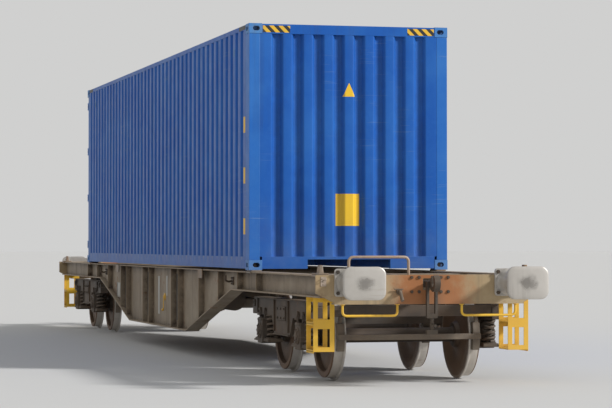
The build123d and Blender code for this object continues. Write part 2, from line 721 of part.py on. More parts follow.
RAIL_HALF_LENGTH = BOX_HALF_LENGTH - CASTING[0]
SIDE_SHEET_Y = 1214.0
BOTTOM_RAIL_Z = (15.0, 158.0)
TOP_RAIL_Z = (2836.0, 2892.0)
FRONT_SHEET_X = 6090.0
FRONT_SHEET_HALF = 1085.0
HEADER_FOOT = BOX_HEIGHT - CASTING[2]
HEADER_TOP = 2890.0
ROOF_HALF = (RAIL_HALF_LENGTH, 1154.0)
ROOF_TOP = 2888.0

side_outline = [(a, SIDE_SHEET_Y - depth) for a, depth in corrugated_sheet(SIDE_WAVES, RAIL_HALF_LENGTH)]
left_wall, right_wall = left_right(along_z(side_outline, *lifted(BOTTOM_RAIL_Z[1], TOP_RAIL_Z[0])))
save("left_side_wall", [left_wall])
save("right_side_wall", [right_wall])

front_outline = [(FRONT_SHEET_X - depth, a) for a, depth in corrugated_sheet(FRONT_WAVES, FRONT_SHEET_HALF)]
save("front_end_wall", [along_z(front_outline, *lifted(BOTTOM_RAIL_Z[1], HEADER_FOOT))])

roof_outline = [(a, SEAT_Z + ROOF_TOP - depth) for a, depth in corrugated_sheet(ROOF_WAVES, ROOF_HALF[0])]
save("container_roof", [along_y(roof_outline, *around(0, ROOF_HALF[1]))])


# Rails, floor and cross members
# Towards the front, a tunnel for a trailer's raised neck splits the cross members into outriggers.

BOTTOM_RAIL_Y = (1168.0, 1214.0)
BOTTOM_RAIL_THICK = 6.0
TOP_RAIL_Y = (1154.0, 1214.0)
FLOOR_HALF = (RAIL_HALF_LENGTH, 1160.0)
FLOOR_Z = (142.0, 170.0)
FLOOR_TONGUE_HALF = 1080.0
MEMBER_COUNT = 22
MEMBER_SPAN = 5700.0
MEMBER_HALF = 22.0
MEMBER_FOOT = 20.0
TUNNEL_X = (2520.0, 6030.0)
TUNNEL_HALF_WIDTH = 515.0
TUNNEL_ROOF = 132.0
TUNNEL_PLATE = 8.0


def bottom_rail():
    """The left bottom rail, a channel whose open side faces inwards."""
    low, high = lifted(*BOTTOM_RAIL_Z)
    inner, outer = BOTTOM_RAIL_Y
    thick = BOTTOM_RAIL_THICK
    channel = [
        (inner, low), (outer, low), (outer, high), (inner, high),
        (inner, high - thick), (outer - thick, high - thick), (outer - thick, low + thick), (inner, low + thick),
    ]
    return along_x(channel, -RAIL_HALF_LENGTH, RAIL_HALF_LENGTH)


def tunnel():
    """The folded plate over the neck tunnel, open below and at its front."""
    low, high = lifted(MEMBER_FOOT, TUNNEL_ROOF)
    wide, thick = TUNNEL_HALF_WIDTH, TUNNEL_PLATE
    folded = [
        (-wide, low), (-wide, high), (wide, high), (wide, low),
        (wide - thick, low), (wide - thick, high - thick), (thick - wide, high - thick), (thick - wide, low),
    ]
    return along_x(folded, *TUNNEL_X)


def floor_bearers():
    """Cross members over the whole width, then the tunnel with its outriggers welded on."""
    height = lifted(MEMBER_FOOT, FLOOR_Z[0])
    reach = BOTTOM_RAIL_Y[0]
    stations = [-MEMBER_SPAN + 2 * MEMBER_SPAN * i / (MEMBER_COUNT - 1) for i in range(MEMBER_COUNT)]
    members = [block(around(x, MEMBER_HALF), around(0, reach), height) for x in stations if x < TUNNEL_X[0]]
    outriggers = []
    for x in stations:
        if x > TUNNEL_X[0]:
            outriggers += left_right(block(around(x, MEMBER_HALF), (TUNNEL_HALF_WIDTH, reach), height))
    return members + [fuse([tunnel(), *outriggers])]


top_rail = block(around(0, RAIL_HALF_LENGTH), TOP_RAIL_Y, lifted(*TOP_RAIL_Z))
save("bottom_side_rails", left_right(bottom_rail()))
save("top_side_rails", left_right(top_rail))
floor_main = block(around(0, FLOOR_HALF[0]), around(0, FLOOR_HALF[1]), lifted(*FLOOR_Z))
floor_tongue = block((0, TUNNEL_X[1]), around(0, FLOOR_TONGUE_HALF), lifted(*FLOOR_Z))
save("container_floor", [fuse([floor_main, floor_tongue])])
save("floor_cross_members", floor_bearers())


# End frames

END_SPAN = BOX_HALF_WIDTH - CASTING[1]
FRONT_FRAME_X = 6092.0
# Corner post of the closed end in plan: a deep outer box with a thin flange that the side sheet meets.
FRONT_POST = [
    (5918.0, 1215.0), (FRONT_FRAME_X, 1215.0), (FRONT_FRAME_X, 1085.0), (6030.0, 1085.0),
    (6030.0, 1130.0), (5986.0, 1130.0), (5986.0, 1208.0), (5918.0, 1208.0),
]
FRONT_HEADER_X = (6040.0, FRONT_FRAME_X)
FRONT_SILL_X = (6030.0, FRONT_FRAME_X)
POST_Z = (CASTING[2], HEADER_FOOT)
HEADER_PLATE = 4.0
REAR_FRAME_X = (-6024.0, -5918.0)
REAR_HEADER_FOOT = 2772.0
# Corner post of the door end in plan: the cut-back outer corner leaves room for the hinges,
# and the inner lip is the stop behind the door leaf.
REAR_POST = [
    (-6074.0, 1170.0), (-6074.0, 1197.0), (-6020.0, 1197.0), (-6020.0, 1215.0),
    (-5918.0, 1215.0), (-5918.0, 1208.0), (-5930.0, 1208.0),
    (-5930.0, 1130.0), (-5962.0, 1130.0), (-5962.0, 1170.0),
]


def front_sill():
    """The front sill with the tunnel's opening cut up into it."""
    sill = block(FRONT_SILL_X, around(0, END_SPAN), lifted(*BOTTOM_RAIL_Z))
    inside = TUNNEL_HALF_WIDTH - TUNNEL_PLATE
    notch = block(
        (FRONT_SILL_X[0] - 1, FRONT_SILL_X[1] + 1),
        around(0, inside),
        lifted(BOTTOM_RAIL_Z[0] - 1, TUNNEL_ROOF - TUNNEL_PLATE),
    )
    return sill - notch


save("front_corner_posts", left_right(along_z(FRONT_POST, *lifted(*POST_Z))))
front_beam = block(FRONT_HEADER_X, around(0, END_SPAN), lifted(HEADER_FOOT, HEADER_TOP))
roof_strip = block(
    (RAIL_HALF_LENGTH, FRONT_HEADER_X[0] + 1),
    around(0, END_SPAN),
    lifted(ROOF_TOP - HEADER_PLATE, ROOF_TOP),
)
save("front_header_and_sill", [fuse([front_beam, roof_strip]), front_sill()])


# Doors
# Each leaf swings about pins set outside its corner post, so that it folds back along the side wall.

HINGE = (-6085.0, 1208.0)
HINGE_LEVELS = [300.0, 1080.0, 1860.0, 2620.0]
PIN_RADIUS = 6.0
PIN_BORE_RADIUS = 6.8
KNUCKLE_HALF = 9.5
BLADE_HALF = (6.0, 25.0)
BLADE_TURN_Y = (1150.0, 1162.0)
BLADE_END_Y = 1000.0
BLADE_THICK = 12.0
LUG_HALF_HEIGHT = 14.0
LUG_GAP = 6.0
LUG_NOSE = 10.0
LEAF_X = (-6024.0, -5974.0)
LEAF_Y = (9.0, 1163.0)
LEAF_Z = (165.0, 2765.0)
LEAF_RIM = 70.0


def rear_post():
    """The left corner post of the door end, with a pin between two lugs at each hinge."""
    post = along_z(REAR_POST, *lifted(*POST_Z))
    lug_x = (HINGE[0] - LUG_NOSE, REAR_POST[2][0])
    lug_y = (REAR_POST[1][1] - 1, HINGE[1] + LUG_NOSE)
    welded = [post]
    for level in HINGE_LEVELS:
        middle = SEAT_Z + level
        offset = BLADE_HALF[1] + LUG_GAP + LUG_HALF_HEIGHT
        welded += [block(lug_x, lug_y, around(middle + side * offset, LUG_HALF_HEIGHT)) for side in (-1, 1)]
        welded.append(rod((*HINGE, middle - offset), (*HINGE, middle + offset), PIN_RADIUS))
    return fuse(welded)


def hinge_blade(level):
    """A hinge blade: bored knuckle, an arm past the post, a turn inwards and a strap on the leaf's face."""
    height = around(SEAT_Z + level, BLADE_HALF[1])
    knuckle = block(around(HINGE[0], KNUCKLE_HALF), around(HINGE[1], KNUCKLE_HALF), height)
    back, front = around(HINGE[0], BLADE_HALF[0])
    arm = block((back, front), (BLADE_TURN_Y[0], HINGE[1]), height)
    turn = block((back, LEAF_X[0] + 1), BLADE_TURN_Y, height)
    strap = block((LEAF_X[0] - BLADE_THICK, LEAF_X[0] + 1), (BLADE_END_Y, BLADE_TURN_Y[1]), height)
    bore = rod((*HINGE, height[0] - 1), (*HINGE, height[1] + 1), PIN_BORE_RADIUS)
    return fuse([knuckle, arm, turn, strap]) - bore


def door():
    """The left door leaf: a frame round a corrugated panel, with its hinge blades."""
    leaf = block(LEAF_X, LEAF_Y, lifted(*LEAF_Z))
    inside_y = (LEAF_Y[0] + LEAF_RIM, LEAF_Y[1] - LEAF_RIM)
    inside_z = (LEAF_Z[0] + LEAF_RIM, LEAF_Z[1] - LEAF_RIM)
    frame = leaf - block((LEAF_X[0] - 1, LEAF_X[1] + 1), inside_y, lifted(*inside_z))
    half = (inside_z[1] - inside_z[0]) / 2
    middle_z = SEAT_Z + (inside_z[0] + inside_z[1]) / 2
    face_x = LEAF_X[0] + SHEET_THICK
    panel = [(face_x + depth, middle_z + a) for a, depth in corrugated_sheet(DOOR_WAVES, half)]
    return fuse([frame, along_y(panel, *inside_y), *[hinge_blade(level) for level in HINGE_LEVELS]])


# Lock rods
# Each rod turns in guides on its leaf. Cams at its ends sit between keepers on the header and the sill.

ROD_X = -6046.0
ROD_RADIUS = 17.0
ROD_Z = (60.0, 2836.0)
GUIDE_LEVELS = [250.0, 1500.0, 2680.0]
GUIDE_X = (-6068.0, LEAF_X[0])
GUIDE_HOLLOW_X = (-6064.5, -6027.5)
GUIDE_HALF = (30.0, 24.0)
GUIDE_HOLLOW_HALF = 18.5
CAM_HALF = (18.0, 30.0, 22.0)
KEEPER_GAP = 12.0
KEEPER_THICK = 14.0
KEEPER_NOSE = 34.0
HANDLE_HALF = (7.0, 16.0)
HANDLE_LENGTH = 360.0
HUB_HALF = (20.0, 24.0)
LockRod = namedtuple("LockRod", "y handle_level handle_side")
LOCK_RODS = [LockRod(330.0, 1010.0, 1), LockRod(930.0, 1180.0, -1)]


def lock_rod(place):
    """A lock rod with its end cams, and its handle lying flat in front of the leaf."""
    bar = rod((ROD_X, place.y, SEAT_Z + ROD_Z[0]), (ROD_X, place.y, SEAT_Z + ROD_Z[1]), ROD_RADIUS)
    cams = [
        block(around(ROD_X, CAM_HALF[0]), around(place.y, CAM_HALF[1]), around(SEAT_Z + z, CAM_HALF[2]))
        for z in ROD_Z
    ]
    height = around(SEAT_Z + place.handle_level, HANDLE_HALF[1])
    hub = block(around(ROD_X, HUB_HALF[0]), around(place.y, HUB_HALF[1]), height)
    reach = sorted((place.y, place.y + place.handle_side * HANDLE_LENGTH))
    handle = block(around(ROD_X, HANDLE_HALF[0]), reach, height)
    return fuse([bar, *cams, hub, handle])


def rod_guide(y, level):
    """A guide on the leaf that closes round a lock rod."""
    height = around(SEAT_Z + level, GUIDE_HALF[1])
    hollow_z = (height[0] - 1, height[1] + 1)
    return block(GUIDE_X, around(y, GUIDE_HALF[0]), height) - block(
        GUIDE_HOLLOW_X, around(y, GUIDE_HOLLOW_HALF), hollow_z
    )


def keepers(z):
    """Two cheeks on the frame beside each cam of the left door's rods."""
    cheeks = []
    for place in LOCK_RODS:
        for side in (-1, 1):
            near = place.y + side * (CAM_HALF[1] + KEEPER_GAP)
            cheek_y = sorted((near, near + side * KEEPER_THICK))
            reach = (REAR_FRAME_X[0] - KEEPER_NOSE, REAR_FRAME_X[0] + 1)
            cheeks.append(block(reach, cheek_y, around(SEAT_Z + z, CAM_HALF[2])))
    return cheeks


def rear_beam(heights, cam_level):
    """The header or the sill of the door end, with the keepers of both doors."""
    beam = block(REAR_FRAME_X, around(0, END_SPAN), lifted(*heights))
    cheeks = [copy for cheek in keepers(cam_level) for copy in left_right(cheek)]
    return fuse([beam, *cheeks])


save("rear_corner_posts", left_right(rear_post()))
rear_header = rear_beam((REAR_HEADER_FOOT, HEADER_TOP), ROD_Z[1])
rear_sill = rear_beam(BOTTOM_RAIL_Z, ROD_Z[0])
save("rear_header_and_sill", [rear_header, rear_sill])
guides = [rod_guide(place.y, level) for place in LOCK_RODS for level in GUIDE_LEVELS]
left_door, right_door = left_right(fuse([door(), *guides]))
save("left_door", [left_door])
save("right_door", [right_door])
left_rods = [lock_rod(place) for place in LOCK_RODS]
save("left_door_lock_rods", left_rods)
save("right_door_lock_rods", [mirror(piece, about=Plane.XZ) for piece in left_rods])
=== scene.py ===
"""Looks of a container flatcar with one forty-foot container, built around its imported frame.

Metres, in the frame's own axes: +X to the front end, +Y to the left, +Z up. Every new piece keeps its place
in its mesh.
"""

import logging
import math
from collections.abc import Iterator, Sequence
from contextlib import contextmanager
from dataclasses import dataclass, field
from enum import Enum

import bmesh
import bpy
import numpy as np
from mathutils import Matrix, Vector

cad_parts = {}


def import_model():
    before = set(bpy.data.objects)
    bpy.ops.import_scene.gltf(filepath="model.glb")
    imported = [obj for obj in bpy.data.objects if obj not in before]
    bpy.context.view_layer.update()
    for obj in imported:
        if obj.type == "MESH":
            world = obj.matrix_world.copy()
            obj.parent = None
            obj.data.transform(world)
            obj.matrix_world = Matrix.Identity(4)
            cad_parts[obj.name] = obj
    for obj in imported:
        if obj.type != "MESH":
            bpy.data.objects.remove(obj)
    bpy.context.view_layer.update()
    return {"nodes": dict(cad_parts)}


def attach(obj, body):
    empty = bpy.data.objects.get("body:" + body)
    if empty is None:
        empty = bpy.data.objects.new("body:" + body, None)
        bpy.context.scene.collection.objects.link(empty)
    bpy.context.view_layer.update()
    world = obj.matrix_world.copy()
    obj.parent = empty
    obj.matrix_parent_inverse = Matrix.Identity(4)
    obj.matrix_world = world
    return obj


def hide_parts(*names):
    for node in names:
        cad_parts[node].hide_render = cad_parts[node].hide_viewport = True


log = logging.getLogger("flatcar")
Array = np.ndarray
Span = tuple[float, float]
Triple = tuple[float, float, float]
Colour = Triple
Socket = bpy.types.NodeSocket

TURN = 2 * math.pi
RAIL = 0.028
AXLE_Z = RAIL + 0.46
BUFFER_Y, BUFFER_Z = 0.875, RAIL + 1.06
SEAT = RAIL + 1.155
PIVOT_X = 7.1
FLAT_ANGLE = math.radians(1.0)
SMOOTH_ANGLE = math.radians(32)
ROUNDED_ANGLE = math.radians(40)


class Axis(Enum):
    """The axis that a turned or pressed form is carried along."""

    X = 0
    Y = 1
    Z = 2


# Surfaces


@dataclass
class Surface:
    """Points and faces of one or several closed skins.

    Args:
        points: (n, 3) places in metres.
        faces: lists of point numbers, one list a face.
    """

    points: Array
    faces: list[list[int]]

    def moved(self, x: float = 0.0, y: float = 0.0, z: float = 0.0) -> "Surface":
        """The same skin, carried by an offset."""
        return Surface(self.points + np.array([x, y, z]), self.faces)

    def scaled(self, x: float = 1.0, y: float = 1.0, z: float = 1.0) -> "Surface":
        """The same skin with each axis multiplied; a negative factor mirrors it."""
        return Surface(self.points * np.array([x, y, z]), self.faces)

    def repeated(self, offsets: Array) -> "Surface":
        """One copy of the skin at each offset: every point plus every offset.

        Args:
            offsets: (n, 3) places of the copies.

        Returns:
            The copies as one skin.
        """
        count = len(self.points)
        points = (offsets[:, None, :] + self.points[None]).reshape(-1, 3)
        faces = [[i + n * count for i in face] for n in range(len(offsets)) for face in self.faces]
        return Surface(points, faces)


def joined(parts: Sequence[Surface]) -> Surface:
    """Several skins as one, each with its point numbers raised by the points before it.

    Args:
        parts: the skins.

    Returns:
        One skin.
    """
    starts = np.cumsum([0] + [len(part.points) for part in parts])
    faces = [[i + int(start) for i in face] for part, start in zip(parts, starts) for face in part.faces]
    return Surface(np.vstack([part.points for part in parts]), faces)


def on_both_sides(part: Surface) -> Surface:
    """A skin and its mirror image across the middle plane y = 0."""
    return joined([part, part.scaled(y=-1)])


def on_four_corners(part: Surface) -> Surface:
    """A skin and its mirror images at all four corners."""
    pair = on_both_sides(part)
    return joined([pair, pair.scaled(x=-1)])


def at_opposite_ends(part: Surface) -> Surface:
    """A skin at the front end, and again turned half round at the rear end."""
    return joined([part, part.scaled(x=-1, y=-1)])


def around(middle: float, half: float) -> Span:
    """The low and the high value at a distance on both sides of a middle."""
    return middle - half, middle + half


def above_rail(low: float, high: float) -> Span:
    """Two heights above the rail's top, as the frame's own Z."""
    return RAIL + low, RAIL + high


def above_seat(low: float, high: float) -> Span:
    """Two heights above the container's foot, as the frame's own Z."""
    return SEAT + low, SEAT + high


def circle(count: int, radius: float) -> Array:
    """(count, 2) points evenly round a circle about the origin: radius times the turn's cosine and sine."""
    turn = np.linspace(0, TURN, count, endpoint=False)
    return np.stack([radius * np.cos(turn), radius * np.sin(turn)], -1)


def helix(radius: float, turn: Array, z: Array) -> Array:
    """(n, 3) points round the Z axis: radius times each turn's cosine and sine, at its own z."""
    return np.stack([radius * np.cos(turn), radius * np.sin(turn), z], -1)


def grid(points: Array, around_v: bool = False, capped: bool = False) -> Surface:
    """Quads between neighbouring points of a grid.

    Args:
        points: (nu, nv, 3) places; u runs along the form and v round it.
        around_v: whether v closes on itself.
        capped: whether the first and last ring get a face of their own.

    Returns:
        The skin.
    """
    nu, nv = points.shape[:2]
    index = np.arange(nu * nv).reshape(nu, nv)
    wide = np.hstack([index, index[:, :1]]) if around_v else index
    quads = np.stack([wide[:-1, :-1], wide[1:, :-1], wide[1:, 1:], wide[:-1, 1:]], -1)
    faces = quads.reshape(-1, 4).tolist()
    if capped:
        faces += [index[0][::-1].tolist(), index[-1].tolist()]
    return Surface(points.reshape(-1, 3), faces)


def lofted(rings: Sequence[tuple[Array, float]], axis: Axis, capped: bool = True) -> Surface:
    """A form through outlines of as many points, each lying square to the axis at its own level.

    Args:
        rings: each outline, (n, 2) points in the axes' order x, y, z, and its level along the axis.
        axis: the axis that the levels count along.
        capped: whether the first and last outline get a face of their own.

    Returns:
        The skin.
    """
    stack = [np.insert(outline, axis.value, level, axis=1) for outline, level in rings]
    return grid(np.stack(stack), around_v=True, capped=capped)


def lathe(
    profile: Sequence[Span] | Array, centre: Triple, axis: Axis, steps: int, closed: bool = False
) -> Surface:
    """A turned form: each profile point (radius, distance along the axis) goes round a circle about the axis.

    Args:
        profile: radius and distance along the axis of each point.
        centre: the point on the axis where the distance is nought.
        axis: the axis of the turning.
        steps: how many points each circle has.
        closed: whether the last profile point joins the first, as in a ring.

    Returns:
        The skin.
    """
    rows = np.asarray(profile, float)
    if closed:
        rows = np.vstack([rows, rows[:1]])
    turn = np.linspace(0, TURN, steps, endpoint=False)
    radius, along = rows[:, :1], rows[:, 1:]
    flat = [radius * np.cos(turn), radius * np.sin(turn), along + 0 * turn]
    order = {Axis.X: (2, 0, 1), Axis.Y: (1, 2, 0), Axis.Z: (0, 1, 2)}[axis]
    return grid(np.stack([flat[i] for i in order], -1) + np.array(centre), around_v=True)


def tube(path: Array, radius: float, sides: int = 10, up: Triple = (0.0, 0.0, 1.0)) -> Surface:
    """A round bar along a path: at each path point, a circle square to the path's direction there.

    Args:
        path: (n, 3) points of its middle line.
        radius: the bar's radius.
        sides: how many points each circle has.
        up: a direction that no stretch of the path runs along.

    Returns:
        The skin.
    """
    along = np.gradient(path, axis=0)
    along /= np.linalg.norm(along, axis=1, keepdims=True)
    side = np.cross(along, np.array(up))
    side /= np.linalg.norm(side, axis=1, keepdims=True)
    rise = np.cross(side, along)
    turn = np.linspace(0, TURN, sides, endpoint=False)[None, :, None]
    ring = radius * (np.cos(turn) * side[:, None] + np.sin(turn) * rise[:, None])
    return grid(path[:, None] + ring, around_v=True, capped=True)


def rounded_path(corners: Sequence[Triple] | Array, radius: float, steps: int = 6) -> Array:
    """A path through corners, each one cut off by a curve that starts and ends a radius away from it.

    The curve is start·(1−t)² + corner·2t(1−t) + end·t² for t from 0 to 1.

    Args:
        corners: the places that it goes through.
        radius: how far from its corner each curve starts.
        steps: how many points each curve has.

    Returns:
        (n, 3) points of the path.
    """
    points = np.asarray(corners, float)
    before, at, after = points[:-2], points[1:-1], points[2:]
    start = at + (before - at) * (radius / np.linalg.norm(before - at, axis=1, keepdims=True))
    end = at + (after - at) * (radius / np.linalg.norm(after - at, axis=1, keepdims=True))
    t = np.linspace(0, 1, steps)[None, :, None]
    bends = start[:, None] * (1 - t) ** 2 + at[:, None] * 2 * t * (1 - t) + end[:, None] * t**2
    return np.vstack([points[:1], bends.reshape(-1, 3), points[-1:]])


def bent_bar(
    corners: Sequence[Triple], bend: float, radius: float, sides: int = 14, up: Triple = (1.0, 0.0, 0.0)
) -> Surface:
    """A round bar through corners, with each bend rounded; the sizes are those of rounded_path and tube."""
    return tube(rounded_path(corners, bend), radius=radius, sides=sides, up=up)


def rounded_rectangle(wide: float, tall: float, corner: float, steps: int = 5) -> Array:
    """Outline of a rectangle about the origin whose corners are quarter circles.

    Args:
        wide: its first side.
        tall: its second side.
        corner: radius of the quarter circles.
        steps: how many points each of them has.

    Returns:
        (n, 2) points.
    """
    quarter = np.linspace(0, math.pi / 2, steps)
    arc = corner * np.stack([np.cos(quarter), np.sin(quarter)], -1)
    hub = np.array([wide / 2 - corner, tall / 2 - corner])
    first = arc + hub
    second = (arc[::-1] + hub) * (-1, 1)
    return np.vstack([first, second, -first, -second])


def pressed(outline: Array, axis: Axis, low: float, high: float, edge: float) -> Surface:
    """A plate of an outline, with its edges eased: the rings at low and high are drawn in by the edge.

    Args:
        outline: (n, 2) points in the plane square to the axis, in the axes' order x, y, z.
        axis: the direction of its thickness.
        low: where it starts along the axis.
        high: where it ends.
        edge: width of the eased edge.

    Returns:
        The skin.
    """
    centre = outline.mean(0)
    reach = np.linalg.norm(outline - centre, axis=1, keepdims=True)
    drawn = centre + (outline - centre) * (1 - edge / reach)
    return lofted([(drawn, low), (outline, low + edge), (outline, high - edge), (drawn, high)], axis)


def plate(x: Span, y: Span, z: Span, edge: float = 0.0015) -> Surface:
    """A flat bar or plate with its edges eased, whose cross-section is square to its longest axis.

    Args:
        x: its low and high x.
        y: its low and high y.
        z: its low and high z.
        edge: width of the eased edges, at most a third of its thickness.

    Returns:
        The skin.
    """
    spans = [x, y, z]
    axis = Axis(int(np.argmax([high - low for low, high in spans])))
    (a0, a1), (b0, b1) = [span for i, span in enumerate(spans) if i != axis.value]
    e = min(edge, (a1 - a0) / 3, (b1 - b0) / 3)
    foot, top = [(a0 + e, b0), (a1 - e, b0)], [(a1 - e, b1), (a0 + e, b1)]
    outline = [*foot, (a1, b0 + e), (a1, b1 - e), *top, (a0, b1 - e), (a0, b0 + e)]
    return pressed(np.array(outline), axis, *spans[axis.value], edge=e)


def bolts(
    centres: Sequence[Triple] | Array, axis: Axis, side: float, height: float, radius: float
) -> Surface:
    """Six-sided bolt heads with eased rims, standing from each centre along the axis.

    Args:
        centres: middles of their feet.
        axis: the axis that they stand along.
        side: 1 or -1, the way that they stand.
        height: how far they stand out.
        radius: from the middle to a corner.

    Returns:
        The heads as one skin.
    """
    shape = np.array([(0.0, -0.2), (1.0, -0.2), (1.0, 0.75), (0.86, 1.0), (0.0, 1.0)])
    head = lathe(shape * (radius, side * height), (0.0, 0.0, 0.0), axis, steps=6)
    return head.repeated(np.asarray(centres, float))


def bent_sheet(line: Array, bend: float) -> Array:
    """A (n, 2) line with each of its corners rounded by a curve of the bend's size."""
    return rounded_path(np.insert(line, 2, 0.0, axis=1), bend, steps=4)[:, :2]


# Materials


class Wire:
    """Short calls for putting nodes into one node tree."""

    def __init__(self, tree: bpy.types.NodeTree) -> None:
        """Works on the given tree."""
        self.tree = tree

    def node(self, kind: str, inputs: dict | None = None, **settings: object) -> bpy.types.Node:
        """A new node.

        Args:
            kind: the node's Blender type name.
            inputs: values or output sockets for its inputs, by name or number.
            settings: the node's own properties.

        Returns:
            The node.
        """
        made = self.tree.nodes.new(kind)
        for name, value in settings.items():
            setattr(made, name, value)
        for name, value in (inputs or {}).items():
            if isinstance(value, Socket):
                self.tree.links.new(value, made.inputs[name])
            else:
                made.inputs[name].default_value = value
        return made

    def math(self, operation: str, a: object, b: object = 0.0, clamped: bool = True) -> Socket:
        """The result of one sum, clamped between nought and one if so asked."""
        return self.node("ShaderNodeMath", {0: a, 1: b}, operation=operation, use_clamp=clamped).outputs[0]

    def raw(self, operation: str, a: object, b: object = 0.0) -> Socket:
        """The result of one sum, however large or small."""
        return self.math(operation, a, b, clamped=False)

    def vector(self, operation: str, a: object, b: Triple = (0.0, 0.0, 0.0)) -> Socket:
        """The vector that a vector sum gives."""
        return self.node("ShaderNodeVectorMath", {0: a, 1: b}, operation=operation).outputs[0]

    def scalar(self, operation: str, a: object, b: Triple = (0.0, 0.0, 0.0)) -> Socket:
        """The number that a vector sum gives, such as a length or a dot product."""
        return self.node("ShaderNodeVectorMath", {0: a, 1: b}, operation=operation).outputs["Value"]

    def part(self, vector: Socket, axis: Axis) -> Socket:
        """A vector's share along one axis."""
        return self.node("ShaderNodeSeparateXYZ", {0: vector}).outputs[axis.value]

    def stretched(self, place: Socket, factors: Triple) -> Socket:
        """The place with each axis multiplied, which draws noise out along an axis with a small factor."""
        return self.node("ShaderNodeMapping", {"Vector": place, "Scale": factors}).outputs[0]

    def blend(self, share: object, a: object, b: object) -> Socket:
        """Colour a where the share is nought, going over to colour b where it is one."""
        return self.node("ShaderNodeMix", {0: share, 6: a, 7: b}, data_type="RGBA").outputs[2]

    def ramp(self, value: object, low: float, high: float) -> Socket:
        """Nought below low, one above high, smooth between them; the other way round if low is above high."""
        inputs = {0: value, 1: low, 2: high, 3: 0.0, 4: 1.0}
        return self.node("ShaderNodeMapRange", inputs, interpolation_type="SMOOTHSTEP").outputs[0]

    def noise(self, place: Socket, scale: object, detail: float = 4.0, rough: float = 0.6) -> Socket:
        """Cloudy noise of a scale."""
        inputs = {"Vector": place, "Scale": scale, "Detail": detail, "Roughness": rough}
        return self.node("ShaderNodeTexNoise", inputs).outputs[0]

    def ragged(self, distance: Socket, cloud: Socket, width: float) -> Socket:
        """A distance whose limits come out ragged: the distance plus noise times a width."""
        return self.raw("ADD", distance, self.raw("MULTIPLY", cloud, width))

    def wrapped(self, distance: Socket, pitch: float) -> Socket:
        """How far through its pitch a distance is: the fraction of distance / pitch."""
        return self.raw("FRACT", self.raw("DIVIDE", distance, pitch))

    def length(self, offset: Socket, weights: Triple) -> Socket:
        """The length of an offset whose axes are multiplied by weights."""
        return self.scalar("LENGTH", self.vector("MULTIPLY", offset, weights))

    def effect(
        self, group: bpy.types.NodeTree, place: Socket, **values: float
    ) -> bpy.types.bpy_prop_collection:
        """The outputs of a shared effect, placed here with its own values."""
        return self.node("ShaderNodeGroup", {"Place": place, **values}, node_tree=group).outputs


class Group(Wire):
    """A shared node group in the making, with a place and named numbers for its inputs."""

    def __init__(self, name: str, **inputs: float) -> None:
        """Opens the group.

        Args:
            name: the group's name.
            inputs: each number input and its default.
        """
        super().__init__(bpy.data.node_groups.new(name, "ShaderNodeTree"))
        sockets = self.tree.interface
        sockets.new_socket("Place", in_out="INPUT", socket_type="NodeSocketVector")
        for label, value in inputs.items():
            made = sockets.new_socket(label, in_out="INPUT", socket_type="NodeSocketFloat")
            made.default_value = value
        self.given = {socket.name: socket for socket in self.node("NodeGroupInput").outputs}
        self.place = self.given["Place"]

    def closed(self, **results: Socket) -> bpy.types.NodeTree:
        """The finished group, with one output a result.

        Args:
            results: the results by the outputs' names.

        Returns:
            The group's tree.
        """
        for label in results:
            self.tree.interface.new_socket(label, in_out="OUTPUT", socket_type="NodeSocketFloat")
        self.node("NodeGroupOutput", results)
        return self.tree


def rgba(colour: Colour, factor: float = 1.0) -> tuple[float, float, float, float]:
    """A colour times a factor, at most one, with its opacity."""
    return (*(min(1.0, factor * c) for c in colour), 1.0)


